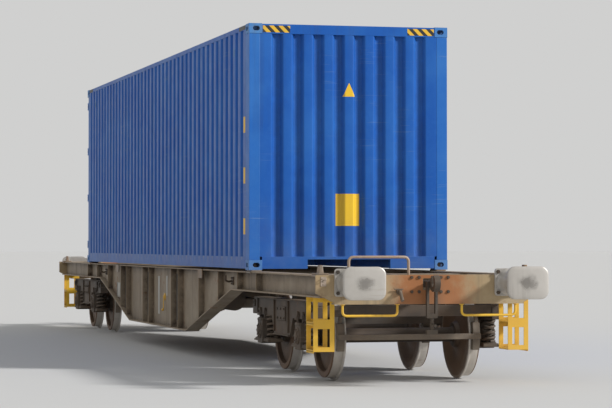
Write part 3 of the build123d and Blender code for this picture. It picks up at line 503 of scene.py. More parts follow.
class Effects:
    """The shared effects: wear, streaks, dust, corner dirt with painted shade, scrapes and grain, each one
    node group.
    """

    def __init__(self) -> None:
        """Builds each group once."""
        self.wear = self._wear()
        self.streaks = self._streaks()
        self.dust = self._dust()
        self.grime_and_shade = self._grime_and_shade()
        self.scrapes = self._scrapes()
        self.grain = self._grain()

    @staticmethod
    def _wear() -> bpy.types.NodeTree:
        """Chips: where fine noise, broad noise and Amount together are high; Halo: a wider rim round them.

        Returns:
            The group.
        """
        group = Group("paint_wear", Scale=12.0, Amount=0.3)
        broad = group.noise(group.place, 1.7, detail=3.0, rough=0.5)
        fine = group.noise(group.place, group.given["Scale"], detail=8.0, rough=0.68)
        level = group.raw("ADD", group.raw("ADD", broad, fine), group.given["Amount"])
        return group.closed(Chips=group.ramp(level, 1.34, 1.40), Halo=group.ramp(level, 1.20, 1.42))

    @staticmethod
    def _streaks() -> bpy.types.NodeTree:
        """Streaks: noise drawn out along Z, times cloudy noise that breaks it up.

        Returns:
            The group.
        """
        group = Group("rain_streaks", Scale=6.0)
        drawn = group.stretched(group.place, (1.0, 1.0, 0.045))
        lines = group.ramp(group.noise(drawn, group.given["Scale"], detail=5.0, rough=0.7), 0.50, 0.70)
        clouds = group.ramp(group.noise(group.place, 0.9, detail=3.0), 0.32, 0.62)
        return group.closed(Mask=group.math("MULTIPLY", lines, clouds))

    @staticmethod
    def _dust() -> bpy.types.NodeTree:
        """Dust: the larger of two patchy layers, one thinning from Low to High, one on faces that look up.

        Returns:
            The group.
        """
        group = Group("settled_dust", Low=0.0, High=1.0)
        height = group.part(group.place, Axis.Z)
        band = {0: height, 1: group.given["Low"], 2: group.given["High"], 3: 1.0, 4: 0.0}
        fall = group.node("ShaderNodeMapRange", band).outputs[0]
        patches = group.ramp(group.noise(group.place, 3.1, detail=6.0, rough=0.65), 0.30, 0.72)
        normal = group.node("ShaderNodeNewGeometry").outputs["Normal"]
        upward = group.ramp(group.part(normal, Axis.Z), 0.4, 0.9)
        layers = []
        for share, patchy, even in ((fall, 0.75, 0.25), (upward, 0.5, 0.3)):
            amount = group.math("ADD", group.math("MULTIPLY", patches, patchy), even)
            layers.append(group.math("MULTIPLY", share, amount))
        return group.closed(Mask=group.math("MAXIMUM", *layers))

    @staticmethod
    def _grime_and_shade() -> bpy.types.NodeTree:
        """Dirt with painted shade: thick where faces of the same piece close in on each other within Reach,
        times patches.

        Returns:
            The group.
        """
        group = Group("corner_grime_and_shade", Reach=0.12)
        reach = {"Distance": group.given["Reach"]}
        # Painted shade: ambient occlusion darkens corners and grooves, standing for dirt and for the shade
        # that falls there.
        shade = group.node("ShaderNodeAmbientOcclusion", reach, samples=4, only_local=True)
        corners = group.ramp(shade.outputs["AO"], 0.92, 0.42)
        clouds = group.ramp(group.noise(group.place, 7.0, detail=6.0, rough=0.7), 0.30, 0.62)
        return group.closed(Mask=group.math("MULTIPLY", corners, group.math("ADD", clouds, 0.2)))

    @staticmethod
    def _scrapes() -> bpy.types.NodeTree:
        """Scrapes: noise drawn out along X into thin lines, times cloudy noise that lets few through.

        Returns:
            The group.
        """
        group = Group("long_scrapes", Scale=6.0)
        drawn = group.stretched(group.place, (0.22, 0.35, 9.0))
        lines = group.ramp(group.noise(drawn, group.given["Scale"], detail=3.0, rough=0.5), 0.62, 0.68)
        clouds = group.ramp(group.noise(group.place, 0.8, detail=3.0), 0.50, 0.60)
        return group.closed(Mask=group.math("MULTIPLY", lines, clouds))

    @staticmethod
    def _grain() -> bpy.types.NodeTree:
        """Grain: fine noise plus slow waviness times Dents, as a height.

        Returns:
            The group.
        """
        group = Group("surface_grain", Scale=90.0, Dents=2.0)
        fine = group.noise(group.place, group.given["Scale"], detail=3.0, rough=0.5)
        waves = group.raw("MULTIPLY", group.noise(group.place, 2.3, detail=2.0), group.given["Dents"])
        return group.closed(Height=group.raw("ADD", fine, waves))


@dataclass(frozen=True)
class Finish:
    """A painted or bare metal surface with its wear.

    Args:
        name: the material's name.
        base: main colour.
        faded: colour that the base goes over to in cloudy patches.
        under: colour that chips and scratches show.
        dust: colour of settled dust.
        streak: colour of rain streaks.
        rough: roughness of the clean surface.
        metallic: metallic value of the clean surface.
        chips: how much is chipped, from -0.2 (nothing) to 0.3.
        chip_scale: fineness of the chips.
        streaks: strength of the streaks, 0 to 1.
        dusty: strength of the dust, 0 to 1.
        dust_band: heights between which the dust thins out.
        grain: depth of the grain in metres.
        dents: how many times deeper the slow waviness is than the grain.
        grime_and_shade_strength: strength of the corner dirt and painted shade, 0 to 1.
        scraped: strength of the long scrapes, 0 to 1.
        scuff: colour that scrapes show.
        gloss: how strongly the clean surface mirrors, 0.5 for common paint.
    """

    name: str
    base: Colour
    faded: Colour
    under: Colour
    dust: Colour = (0.36, 0.31, 0.24)
    streak: Colour = (0.10, 0.08, 0.06)
    rough: float = 0.55
    metallic: float = 0.0
    chips: float = 0.0
    chip_scale: float = 14.0
    streaks: float = 0.3
    dusty: float = 0.4
    dust_band: Span = (0.2, 1.3)
    grain: float = 0.0006
    dents: float = 2.0
    grime_and_shade_strength: float = 0.75
    scraped: float = 0.3
    scuff: Colour = (0.30, 0.24, 0.18)
    gloss: float = 0.5

    def paint(self, wire: Wire, place: Socket) -> Socket:
        """The clean colour: the base, faded in clouds of two sizes.

        Args:
            wire: the material's nodes.
            place: the point on the surface.

        Returns:
            The colour.
        """
        patches = wire.ramp(wire.noise(place, 1.3, detail=6.0, rough=0.65), 0.32, 0.68)
        flecks = wire.math("MULTIPLY", wire.ramp(wire.noise(place, 19.0, rough=0.7), 0.45, 0.7), 0.4)
        return wire.blend(wire.math("MAXIMUM", patches, flecks), rgba(self.base), rgba(self.faded))

    def wet(self, wire: Wire, place: Socket) -> Socket | None:
        """Where grease or oil makes the surface smoother; nowhere on a plain finish."""
        return None

    def rust(self, wire: Wire, place: Socket) -> Socket:
        """What chips show: the colour below the paint, speckled with one 2.3 times as bright."""
        speckle = wire.ramp(wire.noise(place, 60.0, detail=3.0), 0.35, 0.7)
        return wire.blend(speckle, rgba(self.under), rgba(self.under, 2.3))

    def roughness(self, wire: Wire, place: Socket, matt: Socket) -> Socket:
        """The clean surface's roughness, smudged by noise, plus a share where it is matt, less one where wet.

        Args:
            wire: the material's nodes.
            place: the point on the surface.
            matt: how far chips, dust and streaks cover it.

        Returns:
            The roughness.
        """
        smudge = wire.math("MULTIPLY", wire.noise(place, 5.0), 0.25)
        clean = wire.math("ADD", self.rough - 0.12, smudge)
        rough = wire.math("ADD", clean, wire.math("MULTIPLY", matt, 0.35))
        wet = self.wet(wire, place)
        if wet is None:
            return rough
        return wire.math("SUBTRACT", rough, wire.math("MULTIPLY", wet, 0.3))

    def build(self, effects: Effects) -> bpy.types.Material:
        """The material's nodes: paint under scrapes, streaks, chips, dust, and corner dirt with painted
        shade, with a bump.

        The bump's height is the grain less a share of the chips.

        Args:
            effects: the shared node groups.

        Returns:
            The material.
        """
        material = bpy.data.materials.new(self.name)
        material.use_nodes = True
        material.node_tree.nodes.clear()
        wire = Wire(material.node_tree)
        place = wire.node("ShaderNodeTexCoord").outputs["Object"]
        low, high = self.dust_band
        wear = wire.effect(effects.wear, place, Scale=self.chip_scale, Amount=self.chips)
        grain = wire.effect(effects.grain, place, Dents=self.dents)[0]
        dust = wire.math("MULTIPLY", wire.effect(effects.dust, place, Low=low, High=high)[0], self.dusty)
        streaks = wire.math("MULTIPLY", wire.effect(effects.streaks, place)[0], self.streaks)
        grime_and_shade = wire.math("MULTIPLY", wire.effect(effects.grime_and_shade, place)[0], self.grime_and_shade_strength)
        scrapes = wire.math("MULTIPLY", wire.effect(effects.scrapes, place)[0], self.scraped)
        layers = [
            (scrapes, rgba(self.scuff)),
            (streaks, rgba(self.streak)),
            (wire.math("MULTIPLY", wear["Halo"], 0.35), rgba(self.under)),
            (wear["Chips"], self.rust(wire, place)),
            (dust, rgba(self.dust)),
            # painted shade with dirt: the streak colour, darker, where faces of the piece close in
            (grime_and_shade, rgba(self.streak, 0.55)),
        ]
        colour = self.paint(wire, place)
        for share, layer in layers:
            colour = wire.blend(share, colour, layer)

        matt = wire.math("MAXIMUM", wire.math("MAXIMUM", wear["Chips"], dust), streaks)
        height = wire.raw("SUBTRACT", grain, wire.math("MULTIPLY", wear["Chips"], 0.6))
        bump = wire.node("ShaderNodeBump", {"Strength": 0.6, "Distance": self.grain, "Height": height})
        inputs = {"Base Color": colour, "Normal": bump.outputs[0], "Specular IOR Level": self.gloss}
        inputs["Roughness"] = self.roughness(wire, place, matt)
        if self.metallic:
            covered = wire.math("MULTIPLY", matt, self.metallic)
            inputs["Metallic"] = wire.math("SUBTRACT", self.metallic, covered)
        shader = wire.node("ShaderNodeBsdfPrincipled", inputs)
        wire.node("ShaderNodeOutputMaterial", {0: shader.outputs[0]})
        return material


@dataclass(frozen=True)
class WheelFinish(Finish):
    """Rusted wheel with a bright running band: bright where the distance from the axle is a tread's."""

    axle_x: float = 0.0
    bright: Colour = (0.62, 0.58, 0.53)
    oil: Colour = (0.022, 0.018, 0.015)

    def paint(self, wire: Wire, place: Socket) -> Socket:
        """Rust, oily round the hub, and bright steel where the distances from axle and middle fit the tread.

        Args:
            wire: the material's nodes.
            place: the point on the surface.

        Returns:
            The colour.
        """
        radius = wire.length(wire.vector("SUBTRACT", place, (self.axle_x, 0.0, AXLE_Z)), (1.0, 0.0, 1.0))
        reach = wire.ragged(radius, wire.noise(place, 6.0, detail=6.0, rough=0.7), 0.22)
        oily = wire.math("MULTIPLY", wire.ramp(reach, 0.34, 0.20), 0.8)
        rust = wire.blend(oily, super().paint(wire, place), rgba(self.oil))
        side = wire.raw("ABSOLUTE", wire.part(place, Axis.Y))
        outer = wire.ragged(side, wire.noise(place, 9.0), 0.012)
        band = wire.math("MULTIPLY", wire.ramp(radius, 0.4545, 0.4575), wire.ramp(outer, 0.821, 0.812))
        band = wire.math("MULTIPLY", band, wire.ramp(outer, 0.690, 0.705))
        return wire.blend(band, rust, rgba(self.bright))


@dataclass(frozen=True)
class BufferFinish(Finish):
    """Buffer steel with dark grease smeared round the middle of each head."""

    grease: Colour = (0.055, 0.048, 0.040)
    spot: Triple = (9.862, 0.875, RAIL + 1.06)

    def wet(self, wire: Wire, place: Socket) -> Socket:
        """One at the head's middle, fading with distance from the buffer's axis, broken up by cloudy noise.

        Args:
            wire: the material's nodes.
            place: the point on the surface.

        Returns:
            The share of grease.
        """
        off = wire.vector("SUBTRACT", wire.vector("ABSOLUTE", place), self.spot)
        edge = wire.ragged(wire.length(off, (0.0, 0.75, 1.0)), wire.noise(place, 14.0, detail=5.0), 0.11)
        ahead = wire.ramp(wire.part(off, Axis.X), -0.004, -0.001)
        return wire.math("MULTIPLY", wire.ramp(edge, 0.155, 0.075), ahead)

    def paint(self, wire: Wire, place: Socket) -> Socket:
        """The steel's colour, going over to grease where it is wet."""
        share = wire.math("MULTIPLY", self.wet(wire, place), 0.55)
        return wire.blend(share, super().paint(wire, place), rgba(self.grease))


@dataclass(frozen=True)
class HeadstockFinish(Finish):
    """Tan paint that has rusted orange around the coupling."""

    middle: Colour = (0.34, 0.125, 0.035)

    def paint(self, wire: Wire, place: Socket) -> Socket:
        """Tan, going over to orange rust within about half a metre of the middle plane, with ragged edges.

        Args:
            wire: the material's nodes.
            place: the point on the surface.

        Returns:
            The colour.
        """
        side = wire.part(wire.vector("ABSOLUTE", place), Axis.Y)
        edge = wire.ragged(side, wire.noise(place, 4.0, detail=6.0, rough=0.7), 0.55)
        return wire.blend(wire.ramp(edge, 0.86, 0.50), super().paint(wire, place), rgba(self.middle))


@dataclass(frozen=True)
class DripFinish(Finish):
    """Container paint with dirty drips on the bottom rail, one below each groove of the sheet above."""

    drip: Colour = (0.30, 0.30, 0.28)
    pitch: float = 0.278
    foot: float = SEAT + 0.158

    def paint(self, wire: Wire, place: Socket) -> Socket:
        """The paint, with drips where X, wrapped at the grooves' pitch, is near a groove's middle.

        They fade with the height below the sheet.

        Args:
            wire: the material's nodes.
            place: the point on the surface.

        Returns:
            The colour.
        """
        turn = wire.wrapped(wire.part(place, Axis.X), self.pitch)
        near = wire.ramp(wire.raw("ABSOLUTE", wire.raw("SUBTRACT", turn, 0.5)), 0.13, 0.03)
        height = wire.part(place, Axis.Z)
        fading = wire.ramp(height, self.foot - 0.12, self.foot)
        below = wire.ramp(height, self.foot + 0.004, self.foot + 0.001)
        ragged = wire.math("MULTIPLY", wire.ramp(wire.noise(place, 11.0, detail=5.0), 0.38, 0.62), 0.6)
        share = wire.math("MULTIPLY", near, wire.math("MULTIPLY", fading, below))
        share = wire.math("MULTIPLY", share, ragged)
        return wire.blend(share, super().paint(wire, place), rgba(self.drip))


@dataclass(frozen=True)
class StripeFinish(Finish):
    """Slanted warning stripes: two colours by the sum of two coordinates, wrapped at the pitch."""

    second: Colour = (0.02, 0.02, 0.022)
    pitch: float = 0.11
    lean: Triple = (0.0, 1.0, 1.0)

    def paint(self, wire: Wire, place: Socket) -> Socket:
        """The first colour where the leaning distance, wrapped at the pitch, is below half, else the second.

        Args:
            wire: the material's nodes.
            place: the point on the surface.

        Returns:
            The colour.
        """
        turn = wire.wrapped(wire.scalar("DOT_PRODUCT", place, self.lean), self.pitch)
        return wire.blend(wire.math("GREATER_THAN", turn, 0.5), super().paint(wire, place), rgba(self.second))


@dataclass(frozen=True)
class WoodFinish(Finish):
    """Plywood: rings drawn out along the container's length."""

    def paint(self, wire: Wire, place: Socket) -> Socket:
        """Two browns mixed by noise that is stretched along X."""
        lines = wire.noise(wire.stretched(place, (0.06, 1.0, 1.0)), 26.0, detail=7.0, rough=0.7)
        return wire.blend(wire.ramp(lines, 0.35, 0.65), rgba(self.base), rgba(self.faded))


BLUE: Colour = (0.010, 0.098, 0.42)
BLUE_FADED: Colour = (0.022, 0.135, 0.47)
BLUE_UNDER: Colour = (0.13, 0.05, 0.025)
RUST: Colour = (0.16, 0.062, 0.022)
YELLOW: Colour = (0.86, 0.52, 0.03)


class Paints:
    """Every finish of the object, built once and found by name."""

    def __init__(self) -> None:
        """Builds each finish's material."""
        effects = Effects()
        finishes = [*self._wagon(), *self._running_gear(), *self._container(), *self._plates()]
        self.found = {finish.name: finish.build(effects) for finish in finishes}

    def __getitem__(self, name: str) -> bpy.types.Material:
        """The material of a finish."""
        return self.found[name]

    @staticmethod
    def _wagon() -> list[Finish]:
        """Finishes of the underframe, its buffers and its draw gear.

        Returns:
            The finishes.
        """
        return [
            Finish(
                "underframe", (0.215, 0.155, 0.098), (0.34, 0.265, 0.18), RUST,
                streaks=0.7, streak=(0.065, 0.042, 0.027), chips=0.115, grime_and_shade_strength=0.95, dents=4.0,
            ),
            Finish("underframe_edge", (0.36, 0.27, 0.16), (0.22, 0.12, 0.06), RUST, chips=0.18, dusty=0.3),
            HeadstockFinish(
                "headstock", (0.36, 0.25, 0.13), (0.44, 0.34, 0.20), RUST, streaks=0.5, dusty=0.3, chips=0.10
            ),
            Finish(
                "rail_paint", (0.42, 0.34, 0.27), (0.34, 0.22, 0.14), RUST,
                chips=0.08, chip_scale=30.0, dusty=0.15,
            ),
            Finish(
                "spigot_steel", (0.22, 0.19, 0.16), (0.30, 0.17, 0.08), RUST,
                metallic=0.35, rough=0.5, chips=0.1, dusty=0.2,
            ),
            BufferFinish(
                "buffer_steel", (0.44, 0.41, 0.37), (0.52, 0.49, 0.45), (0.09, 0.06, 0.045),
                metallic=0.3, rough=0.45, chips=0.04, dusty=0.2,
            ),
            Finish(
                "hook_steel", (0.045, 0.04, 0.036), (0.10, 0.065, 0.04), RUST,
                metallic=0.4, rough=0.5, chips=0.05, dusty=0.25,
            ),
            Finish(
                "yellow_paint", YELLOW, (0.78, 0.44, 0.04), RUST,
                rough=0.5, chips=0.03, chip_scale=24.0, dusty=0.15, streaks=0.25,
            ),
            Finish(
                "brake_gear", (0.085, 0.068, 0.055), (0.16, 0.11, 0.07), RUST,
                dusty=0.5, dust_band=(0.1, 1.1), chips=0.06,
            ),
        ]

    @staticmethod
    def _running_gear() -> list[Finish]:
        """Finishes of the bogies, and one for each wheelset, whose bright band is round its own axle.

        Returns:
            The finishes.
        """
        bogies = [
            Finish(
                "bogie_black", (0.034, 0.030, 0.027), (0.085, 0.056, 0.036), RUST,
                dust=(0.24, 0.175, 0.115), dusty=0.6, dust_band=(0.1, 1.0), chips=0.075, rough=0.62,
                streaks=0.5, streak=(0.02, 0.017, 0.015), grime_and_shade_strength=0.9, grain=0.001,
            ),
            Finish(
                "spring_steel", (0.060, 0.050, 0.043), (0.12, 0.075, 0.045), RUST,
                dust=(0.22, 0.17, 0.12), dusty=0.35, rough=0.6, metallic=0.2,
            ),
        ]
        wheels = [
            WheelFinish(
                f"wheel_steel_{x:+.1f}", (0.085, 0.050, 0.033), (0.18, 0.098, 0.052), RUST,
                dust=(0.25, 0.19, 0.13), dusty=0.3, dust_band=(0.0, 0.9), chips=0.05, rough=0.55,
                metallic=0.35, streaks=0.0, axle_x=x,
            )
            for x in (8.0, 6.2, -6.2, -8.0)
        ]
        return bogies + wheels

    @staticmethod
    def _container() -> list[Finish]:
        """Finishes of the container and its doors, all with dust near the container's foot.

        Returns:
            The finishes.
        """
        box = {"dust_band": (SEAT - 0.1, SEAT + 0.9)}
        blue = {"dust": (0.22, 0.24, 0.27), **box}
        sheet = {"chip_scale": 20.0, "streak": (0.03, 0.05, 0.10), **blue}
        return [
            Finish(
                "galvanised", (0.46, 0.48, 0.49), (0.56, 0.57, 0.57), (0.20, 0.10, 0.05),
                metallic=0.65, rough=0.48, chips=-0.02, dusty=0.2, streaks=0.2, **box,
            ),
            DripFinish(
                "container_blue", BLUE, BLUE_FADED, BLUE_UNDER,
                rough=0.40, chips=-0.035, dusty=0.25, streaks=0.22, grain=0.0005, dents=9.0, grime_and_shade_strength=0.92,
                scraped=0.35, scuff=(0.12, 0.22, 0.42), gloss=0.22, **sheet,
            ),
            Finish(
                "post_blue", (0.018, 0.140, 0.50), (0.034, 0.175, 0.53), BLUE_UNDER,
                rough=0.42, chips=-0.02, dusty=0.2, streaks=0.2, gloss=0.25, scraped=0.4,
                scuff=(0.16, 0.28, 0.50), **sheet,
            ),
            Finish(
                "roof_blue", (0.020, 0.115, 0.40), (0.070, 0.170, 0.39), (0.15, 0.06, 0.03),
                dust=(0.20, 0.20, 0.18), chip_scale=16.0, dusty=0.5, streaks=0.0, dents=8.0, grime_and_shade_strength=0.9,
                gloss=0.25, **box,
            ),
            Finish(
                "blue_edge", (0.035, 0.16, 0.47), (0.10, 0.22, 0.47), (0.17, 0.07, 0.03),
                rough=0.48, chips=0.07, chip_scale=22.0, dusty=0.2, gloss=0.25, **blue,
            ),
            Finish(
                "casting_blue", (0.035, 0.18, 0.50), (0.07, 0.24, 0.54), (0.15, 0.06, 0.03),
                rough=0.5, chips=0.05, chip_scale=22.0, dusty=0.2, grain=0.0012, **box,
            ),
            Finish(
                "rubber", (0.018, 0.018, 0.018), (0.045, 0.043, 0.04), (0.06, 0.055, 0.05),
                rough=0.75, chips=-0.1, dusty=0.25, **box,
            ),
            Finish(
                "label_yellow", (0.90, 0.56, 0.02), (0.84, 0.50, 0.03), (0.55, 0.36, 0.06),
                rough=0.45, chips=-0.03, chip_scale=30.0, dusty=0.1, streaks=0.15, grain=0.0002, **box,
            ),
            WoodFinish(
                "floor_ply", (0.20, 0.095, 0.045), (0.33, 0.18, 0.09), (0.10, 0.05, 0.03),
                rough=0.6, chips=-0.05, dusty=0.3, dust_band=(SEAT, SEAT + 2),
            ),
        ]

    @staticmethod
    def _plates() -> list[Finish]:
        """Finishes of the blank panels and plates and of the warning stripes.

        Returns:
            The finishes.
        """
        return [
            Finish(
                "panel_black", (0.020, 0.019, 0.018), (0.05, 0.045, 0.04), (0.17, 0.13, 0.09),
                chips=0.02, dusty=0.35, streaks=0.4,
            ),
            Finish("plate_white", (0.55, 0.54, 0.50), (0.46, 0.44, 0.39), RUST, rough=0.5, dusty=0.3),
            StripeFinish(
                "warning_stripes", YELLOW, (0.80, 0.47, 0.04), (0.20, 0.10, 0.05),
                rough=0.45, chips=-0.03, dusty=0.1, grain=0.0002,
            ),
        ]


# Making pieces


def add_object(name: str, data: bpy.types.ID) -> bpy.types.Object:
    """A new object of a mesh, lamp or camera, in the scene.

    Args:
        name: the object's name.
        data: the mesh, lamp or camera.

    Returns:
        The object.
    """
    made = bpy.data.objects.new(name, data)
    bpy.context.scene.collection.objects.link(made)
    return made


@contextmanager
def edited(mesh: bpy.types.Mesh) -> Iterator[bmesh.types.BMesh]:
    """A mesh's editable form, which is written back to it at the end.

    Args:
        mesh: the mesh.

    Yields:
        Its form.
    """
    form = bmesh.new()
    form.from_mesh(mesh)
    yield form
    form.to_mesh(mesh)
    form.free()


@dataclass
class Workshop:
    """Turns skins into pieces of the model.

    Args:
        nodes: the frame's objects by name.
        paints: the materials.
        made: names of the pieces made so far.
    """

    nodes: dict
    paints: Paints
    made: list[str] = field(default_factory=list)

    def piece(
        self,
        name: str,
        skin: Surface,
        finish: str,
        slot: str = "",
        body: str = "wagon",
        instead: Sequence[str] = (),
    ) -> None:
        """Makes one piece: welds doubled points, turns faces outwards, and rides it on a body.

        Args:
            name: the piece's name.
            skin: its surface.
            finish: its material.
            slot: not used.
            body: the body that it moves with.
            instead: frame nodes that it stands for.
        """
        mesh = bpy.data.meshes.new(name)
        mesh.from_pydata(skin.points.tolist(), [], skin.faces)
        with edited(mesh) as form:
            bmesh.ops.remove_doubles(form, verts=form.verts, dist=2e-6)
            bmesh.ops.dissolve_degenerate(form, edges=form.edges, dist=1e-7)
            bmesh.ops.recalc_face_normals(form, faces=form.faces)
        self._placed(name, mesh, [finish], body, instead)

    def eased(
        self, node: str, slot: str, width: float, body: str = "wagon", finish: str = "", edge: str = ""
    ) -> None:
        """Makes a copy of a frame node whose sharp edges are rounded, and worn there.

        Args:
            node: the frame's node.
            slot: the record's material slot.
            width: width of the rounding in metres.
            body: the body that it moves with.
            finish: material of its faces, when it isn't named like the slot.
            edge: material of its rounded edges, when it isn't that of its faces.
        """
        mesh = self.nodes[node].data.copy()
        mesh.materials.clear()
        with edited(mesh) as form:
            bmesh.ops.remove_doubles(form, verts=form.verts, dist=1e-5)
            bmesh.ops.dissolve_limit(form, angle_limit=FLAT_ANGLE, verts=form.verts, edges=form.edges)
        mesh.polygons.foreach_set("material_index", np.zeros(len(mesh.polygons), np.int32))
        faces = finish or slot
        made = self._placed(f"{node}_eased", mesh, [faces, edge or faces], body, [node])
        rounding = made.modifiers.new("rounded_edges", "BEVEL")
        rounding.width = width
        rounding.segments = 2
        rounding.limit_method = "ANGLE"
        rounding.angle_limit = ROUNDED_ANGLE
        rounding.material = 1
        rounding.use_clamp_overlap = True

    def dress(self, node: str, finish: str) -> None:
        """Gives a frame node that stays its finish.

        Args:
            node: the frame's node.
            finish: its material.
        """
        data = self.nodes[node].data
        data.materials.clear()
        data.materials.append(self.paints[finish])

    def _placed(
        self,
        name: str,
        mesh: bpy.types.Mesh,
        finishes: Sequence[str],
        body: str,
        instead: Sequence[str],
    ) -> bpy.types.Object:
        """Puts a mesh into the scene, rides it on its body and hides the frame nodes that it stands for.

        Args:
            name: the piece's name.
            mesh: its mesh.
            finishes: its materials.
            body: the body that it moves with.
            instead: frame nodes that it stands for.

        Returns:
            The piece.
        """
        mesh.shade_smooth()
        mesh.set_sharp_from_angle(angle=SMOOTH_ANGLE)
        for finish in finishes:
            mesh.materials.append(self.paints[finish])
        made = add_object(name, mesh)
        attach(made, body)
        if instead:
            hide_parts(*instead)
        self.made.append(name)
        log.info("%s: %d faces, on %s", name, len(mesh.polygons), body)
        return made


# The wagon's underframe


@dataclass
class Underframe:
    """Side sills, headstocks, bolsters and what is fixed to them.

    Args:
        shop: where pieces are made.
        sill_y: middle of a side sill's web.
        half_frame: distance of a headstock's back from the middle.
        top: height of the sills.
        panels: middles of the black panels along a sill.
        panel_z: foot and top of the panels.
        treads: heights of the steps' treads.
        spigots: places of the spigot pads.
        pipe_y: where the brake pipe runs along the wagon.
        clips: places of its clips.
        valve_x: place of the distributor valve on it.
        hangers: places of the pull rods' hangers.
    """

    shop: Workshop
    sill_y: float = 1.1
    half_frame: float = 9.25
    top: float = RAIL + 1.14
    panels: tuple[float, ...] = (-2.73, -0.83, 1.37)
    panel_z: Span = (0.44, 1.08)
    treads: Span = (RAIL + 0.34, RAIL + 0.63)
    spigots: Triple = (9.042, 5.9925, 3.19)
    pipe_y: float = -0.56
    clips: tuple[float, ...] = (-8.6, -4.6, -1.8, 0.0, 1.8, 4.6, 8.6)
    valve_x: float = -0.45
    hangers: tuple[float, ...] = (-4.6, -3.05, 3.05, 4.6)

    @property
    def web(self) -> float:
        """Outer face of a side sill's web."""
        return self.sill_y + 0.007

    @property
    def front(self) -> float:
        """Front face of the front headstock."""
        return self.half_frame + 0.02

    def build(self) -> None:
        """Makes and dresses everything of the underframe."""
        for side in ("left", "right"):
            self.shop.eased(f"{side}_side_sill", "underframe", width=0.003, edge="underframe_edge")
        for end in ("front", "rear"):
            self.shop.eased(f"{end}_headstock", "headstock", width=0.003, edge="underframe_edge")
        for node in ("centre_sills", "body_bolsters", "cross_beams"):
            self.shop.dress(node, "underframe")
        for node in ("air_reservoir", "brake_cylinder", "brake_pipe"):
            self.shop.dress(node, "brake_gear")
        self.shop.eased("container_spigots", "spigot_steel", width=0.004)
        self.shop.eased("corner_steps", "yellow_paint", width=0.002)
        self.end_rails()
        self.handles()
        self.data_panels()
        self.rivets()
        self.spigot_hinges()
        self.tread_studs()
        self.pipe_cocks()
        self.rope_hooks()
        self.card_holders()
        self.changeover_levers()
        self.lamp_brackets()
        self.brake_line()

    def end_rails(self) -> None:
        """A bent tube above each headstock, on foot plates that are bolted behind it."""
        x = self.half_frame - 0.045
        back = x - 0.012
        low, high = self.top - 0.12, self.top + 0.1845
        y0, y1 = sides = (-0.865, -0.215)
        bar = bent_bar([(x, y0, low), (x, y0, high), (x, y1, high), (x, y1, low)], bend=0.055, radius=0.0155)
        foot_z = (low - 0.005, low + 0.07)
        feet = [plate((back, self.half_frame), around(y, 0.028), foot_z, edge=0.003) for y in sides]
        heads = [(back, y + s, low + z) for y in sides for s in (-0.018, 0.018) for z in (0.012, 0.052)]
        skin = at_opposite_ends(joined([bar, *feet, bolts(heads, Axis.X, -1, height=0.008, radius=0.008)]))
        self.shop.piece("end_rail_tubes", skin, "rail_paint", "headstock", instead=["end_rails"])

    def handles(self) -> None:
        """Bent handles below the headstock on both sides of the coupling, on welded foot discs."""
        x, y0, y1 = self.half_frame + 0.007, 0.353, 0.947
        low, high = above_rail(0.713, 0.832)
        bar = bent_bar([(x, y0, high), (x, y0, low), (x, y1, low), (x, y1, high)], bend=0.05, radius=0.013)
        disc = [(0.0, -0.007), (0.024, -0.007), (0.026, -0.005), (0.026, 0.0), (0.0, 0.0)]
        feet = [lathe(disc, (x, y, high), Axis.Z, steps=20) for y in (y0, y1)]
        skin = on_four_corners(joined([bar, *feet]))
        self.shop.piece("handle_tubes", skin, "yellow_paint", instead=["shunter_handles"])

    def data_panels(self) -> None:
        """Blank black panels between the pairs of ribs, and two pale strips ahead of the middle panel, on
        both sills.
        """
        low, high = self.panel_z
        depth = (self.web, self.web + 0.003)
        sheets = [plate(around(x, 0.236), depth, self.panel_z) for x in self.panels]
        self.shop.piece("data_panels", on_both_sides(joined(sheets)), "panel_black", "underframe")
        x = self.panels[1] + 0.62
        wide = plate((x, x + 0.11), depth, (low + 0.05, high - 0.05))
        small = plate((x + 0.62, x + 0.70), depth, (high - 0.32, high - 0.04))
        self.shop.piece("pale_strips", on_both_sides(joined([wide, small])), "plate_white", "underframe")

    def rivets(self) -> None:
        """Bolt heads round each buffer's base and along the headstock."""
        base = self.front + 0.025
        corners = [(base, y, z) for y in around(BUFFER_Y, 0.13) for z in around(BUFFER_Z, 0.11)]
        hook = [(self.front, y, z) for y in (0.12, 0.2) for z in (0.99, 1.14)]
        heads = [
            bolts(corners, Axis.X, 1, height=0.018, radius=0.021),
            bolts(hook, Axis.X, 1, height=0.015, radius=0.018),
        ]
        self.shop.piece("headstock_bolts", on_four_corners(joined(heads)), "hook_steel", "headstock")

    def spigot_hinges(self) -> None:
        """Hinge barrels beside every spigot pad and its two lugs, outside the sill's flange."""
        barrel = [(0.0, -0.10), (0.010, -0.10), (0.012, -0.097), (0.012, 0.097), (0.010, 0.10), (0.0, 0.10)]
        y, z = self.sill_y + 0.09 + 0.004, self.top - 0.012
        parts = [lathe(barrel, (x, y, z), Axis.X, steps=12) for x in self.spigots]
        self.shop.piece("spigot_hinges", on_four_corners(joined(parts)), "spigot_steel")

    def tread_studs(self) -> None:
        """Raised diamonds on the step treads and their turned-up front lips."""
        step = 0.035
        spots = [(x, y, 0.0) for x in np.arange(8.72, 8.97, step) for y in np.arange(0.985, 1.17, step)]
        foot = circle(4, radius=0.010) * (1, 0.5)
        studs = lofted([(foot, -0.001), (foot * 0.6, 0.0022)], Axis.Z).repeated(np.array(spots))
        parts = []
        for level in self.treads:
            parts.append(studs.moved(z=level))
            parts.append(plate((8.692, 8.988), (1.184, 1.190), (level - 0.025, level + 0.012)))
        self.shop.piece("step_treads", on_four_corners(joined(parts)), "yellow_paint")

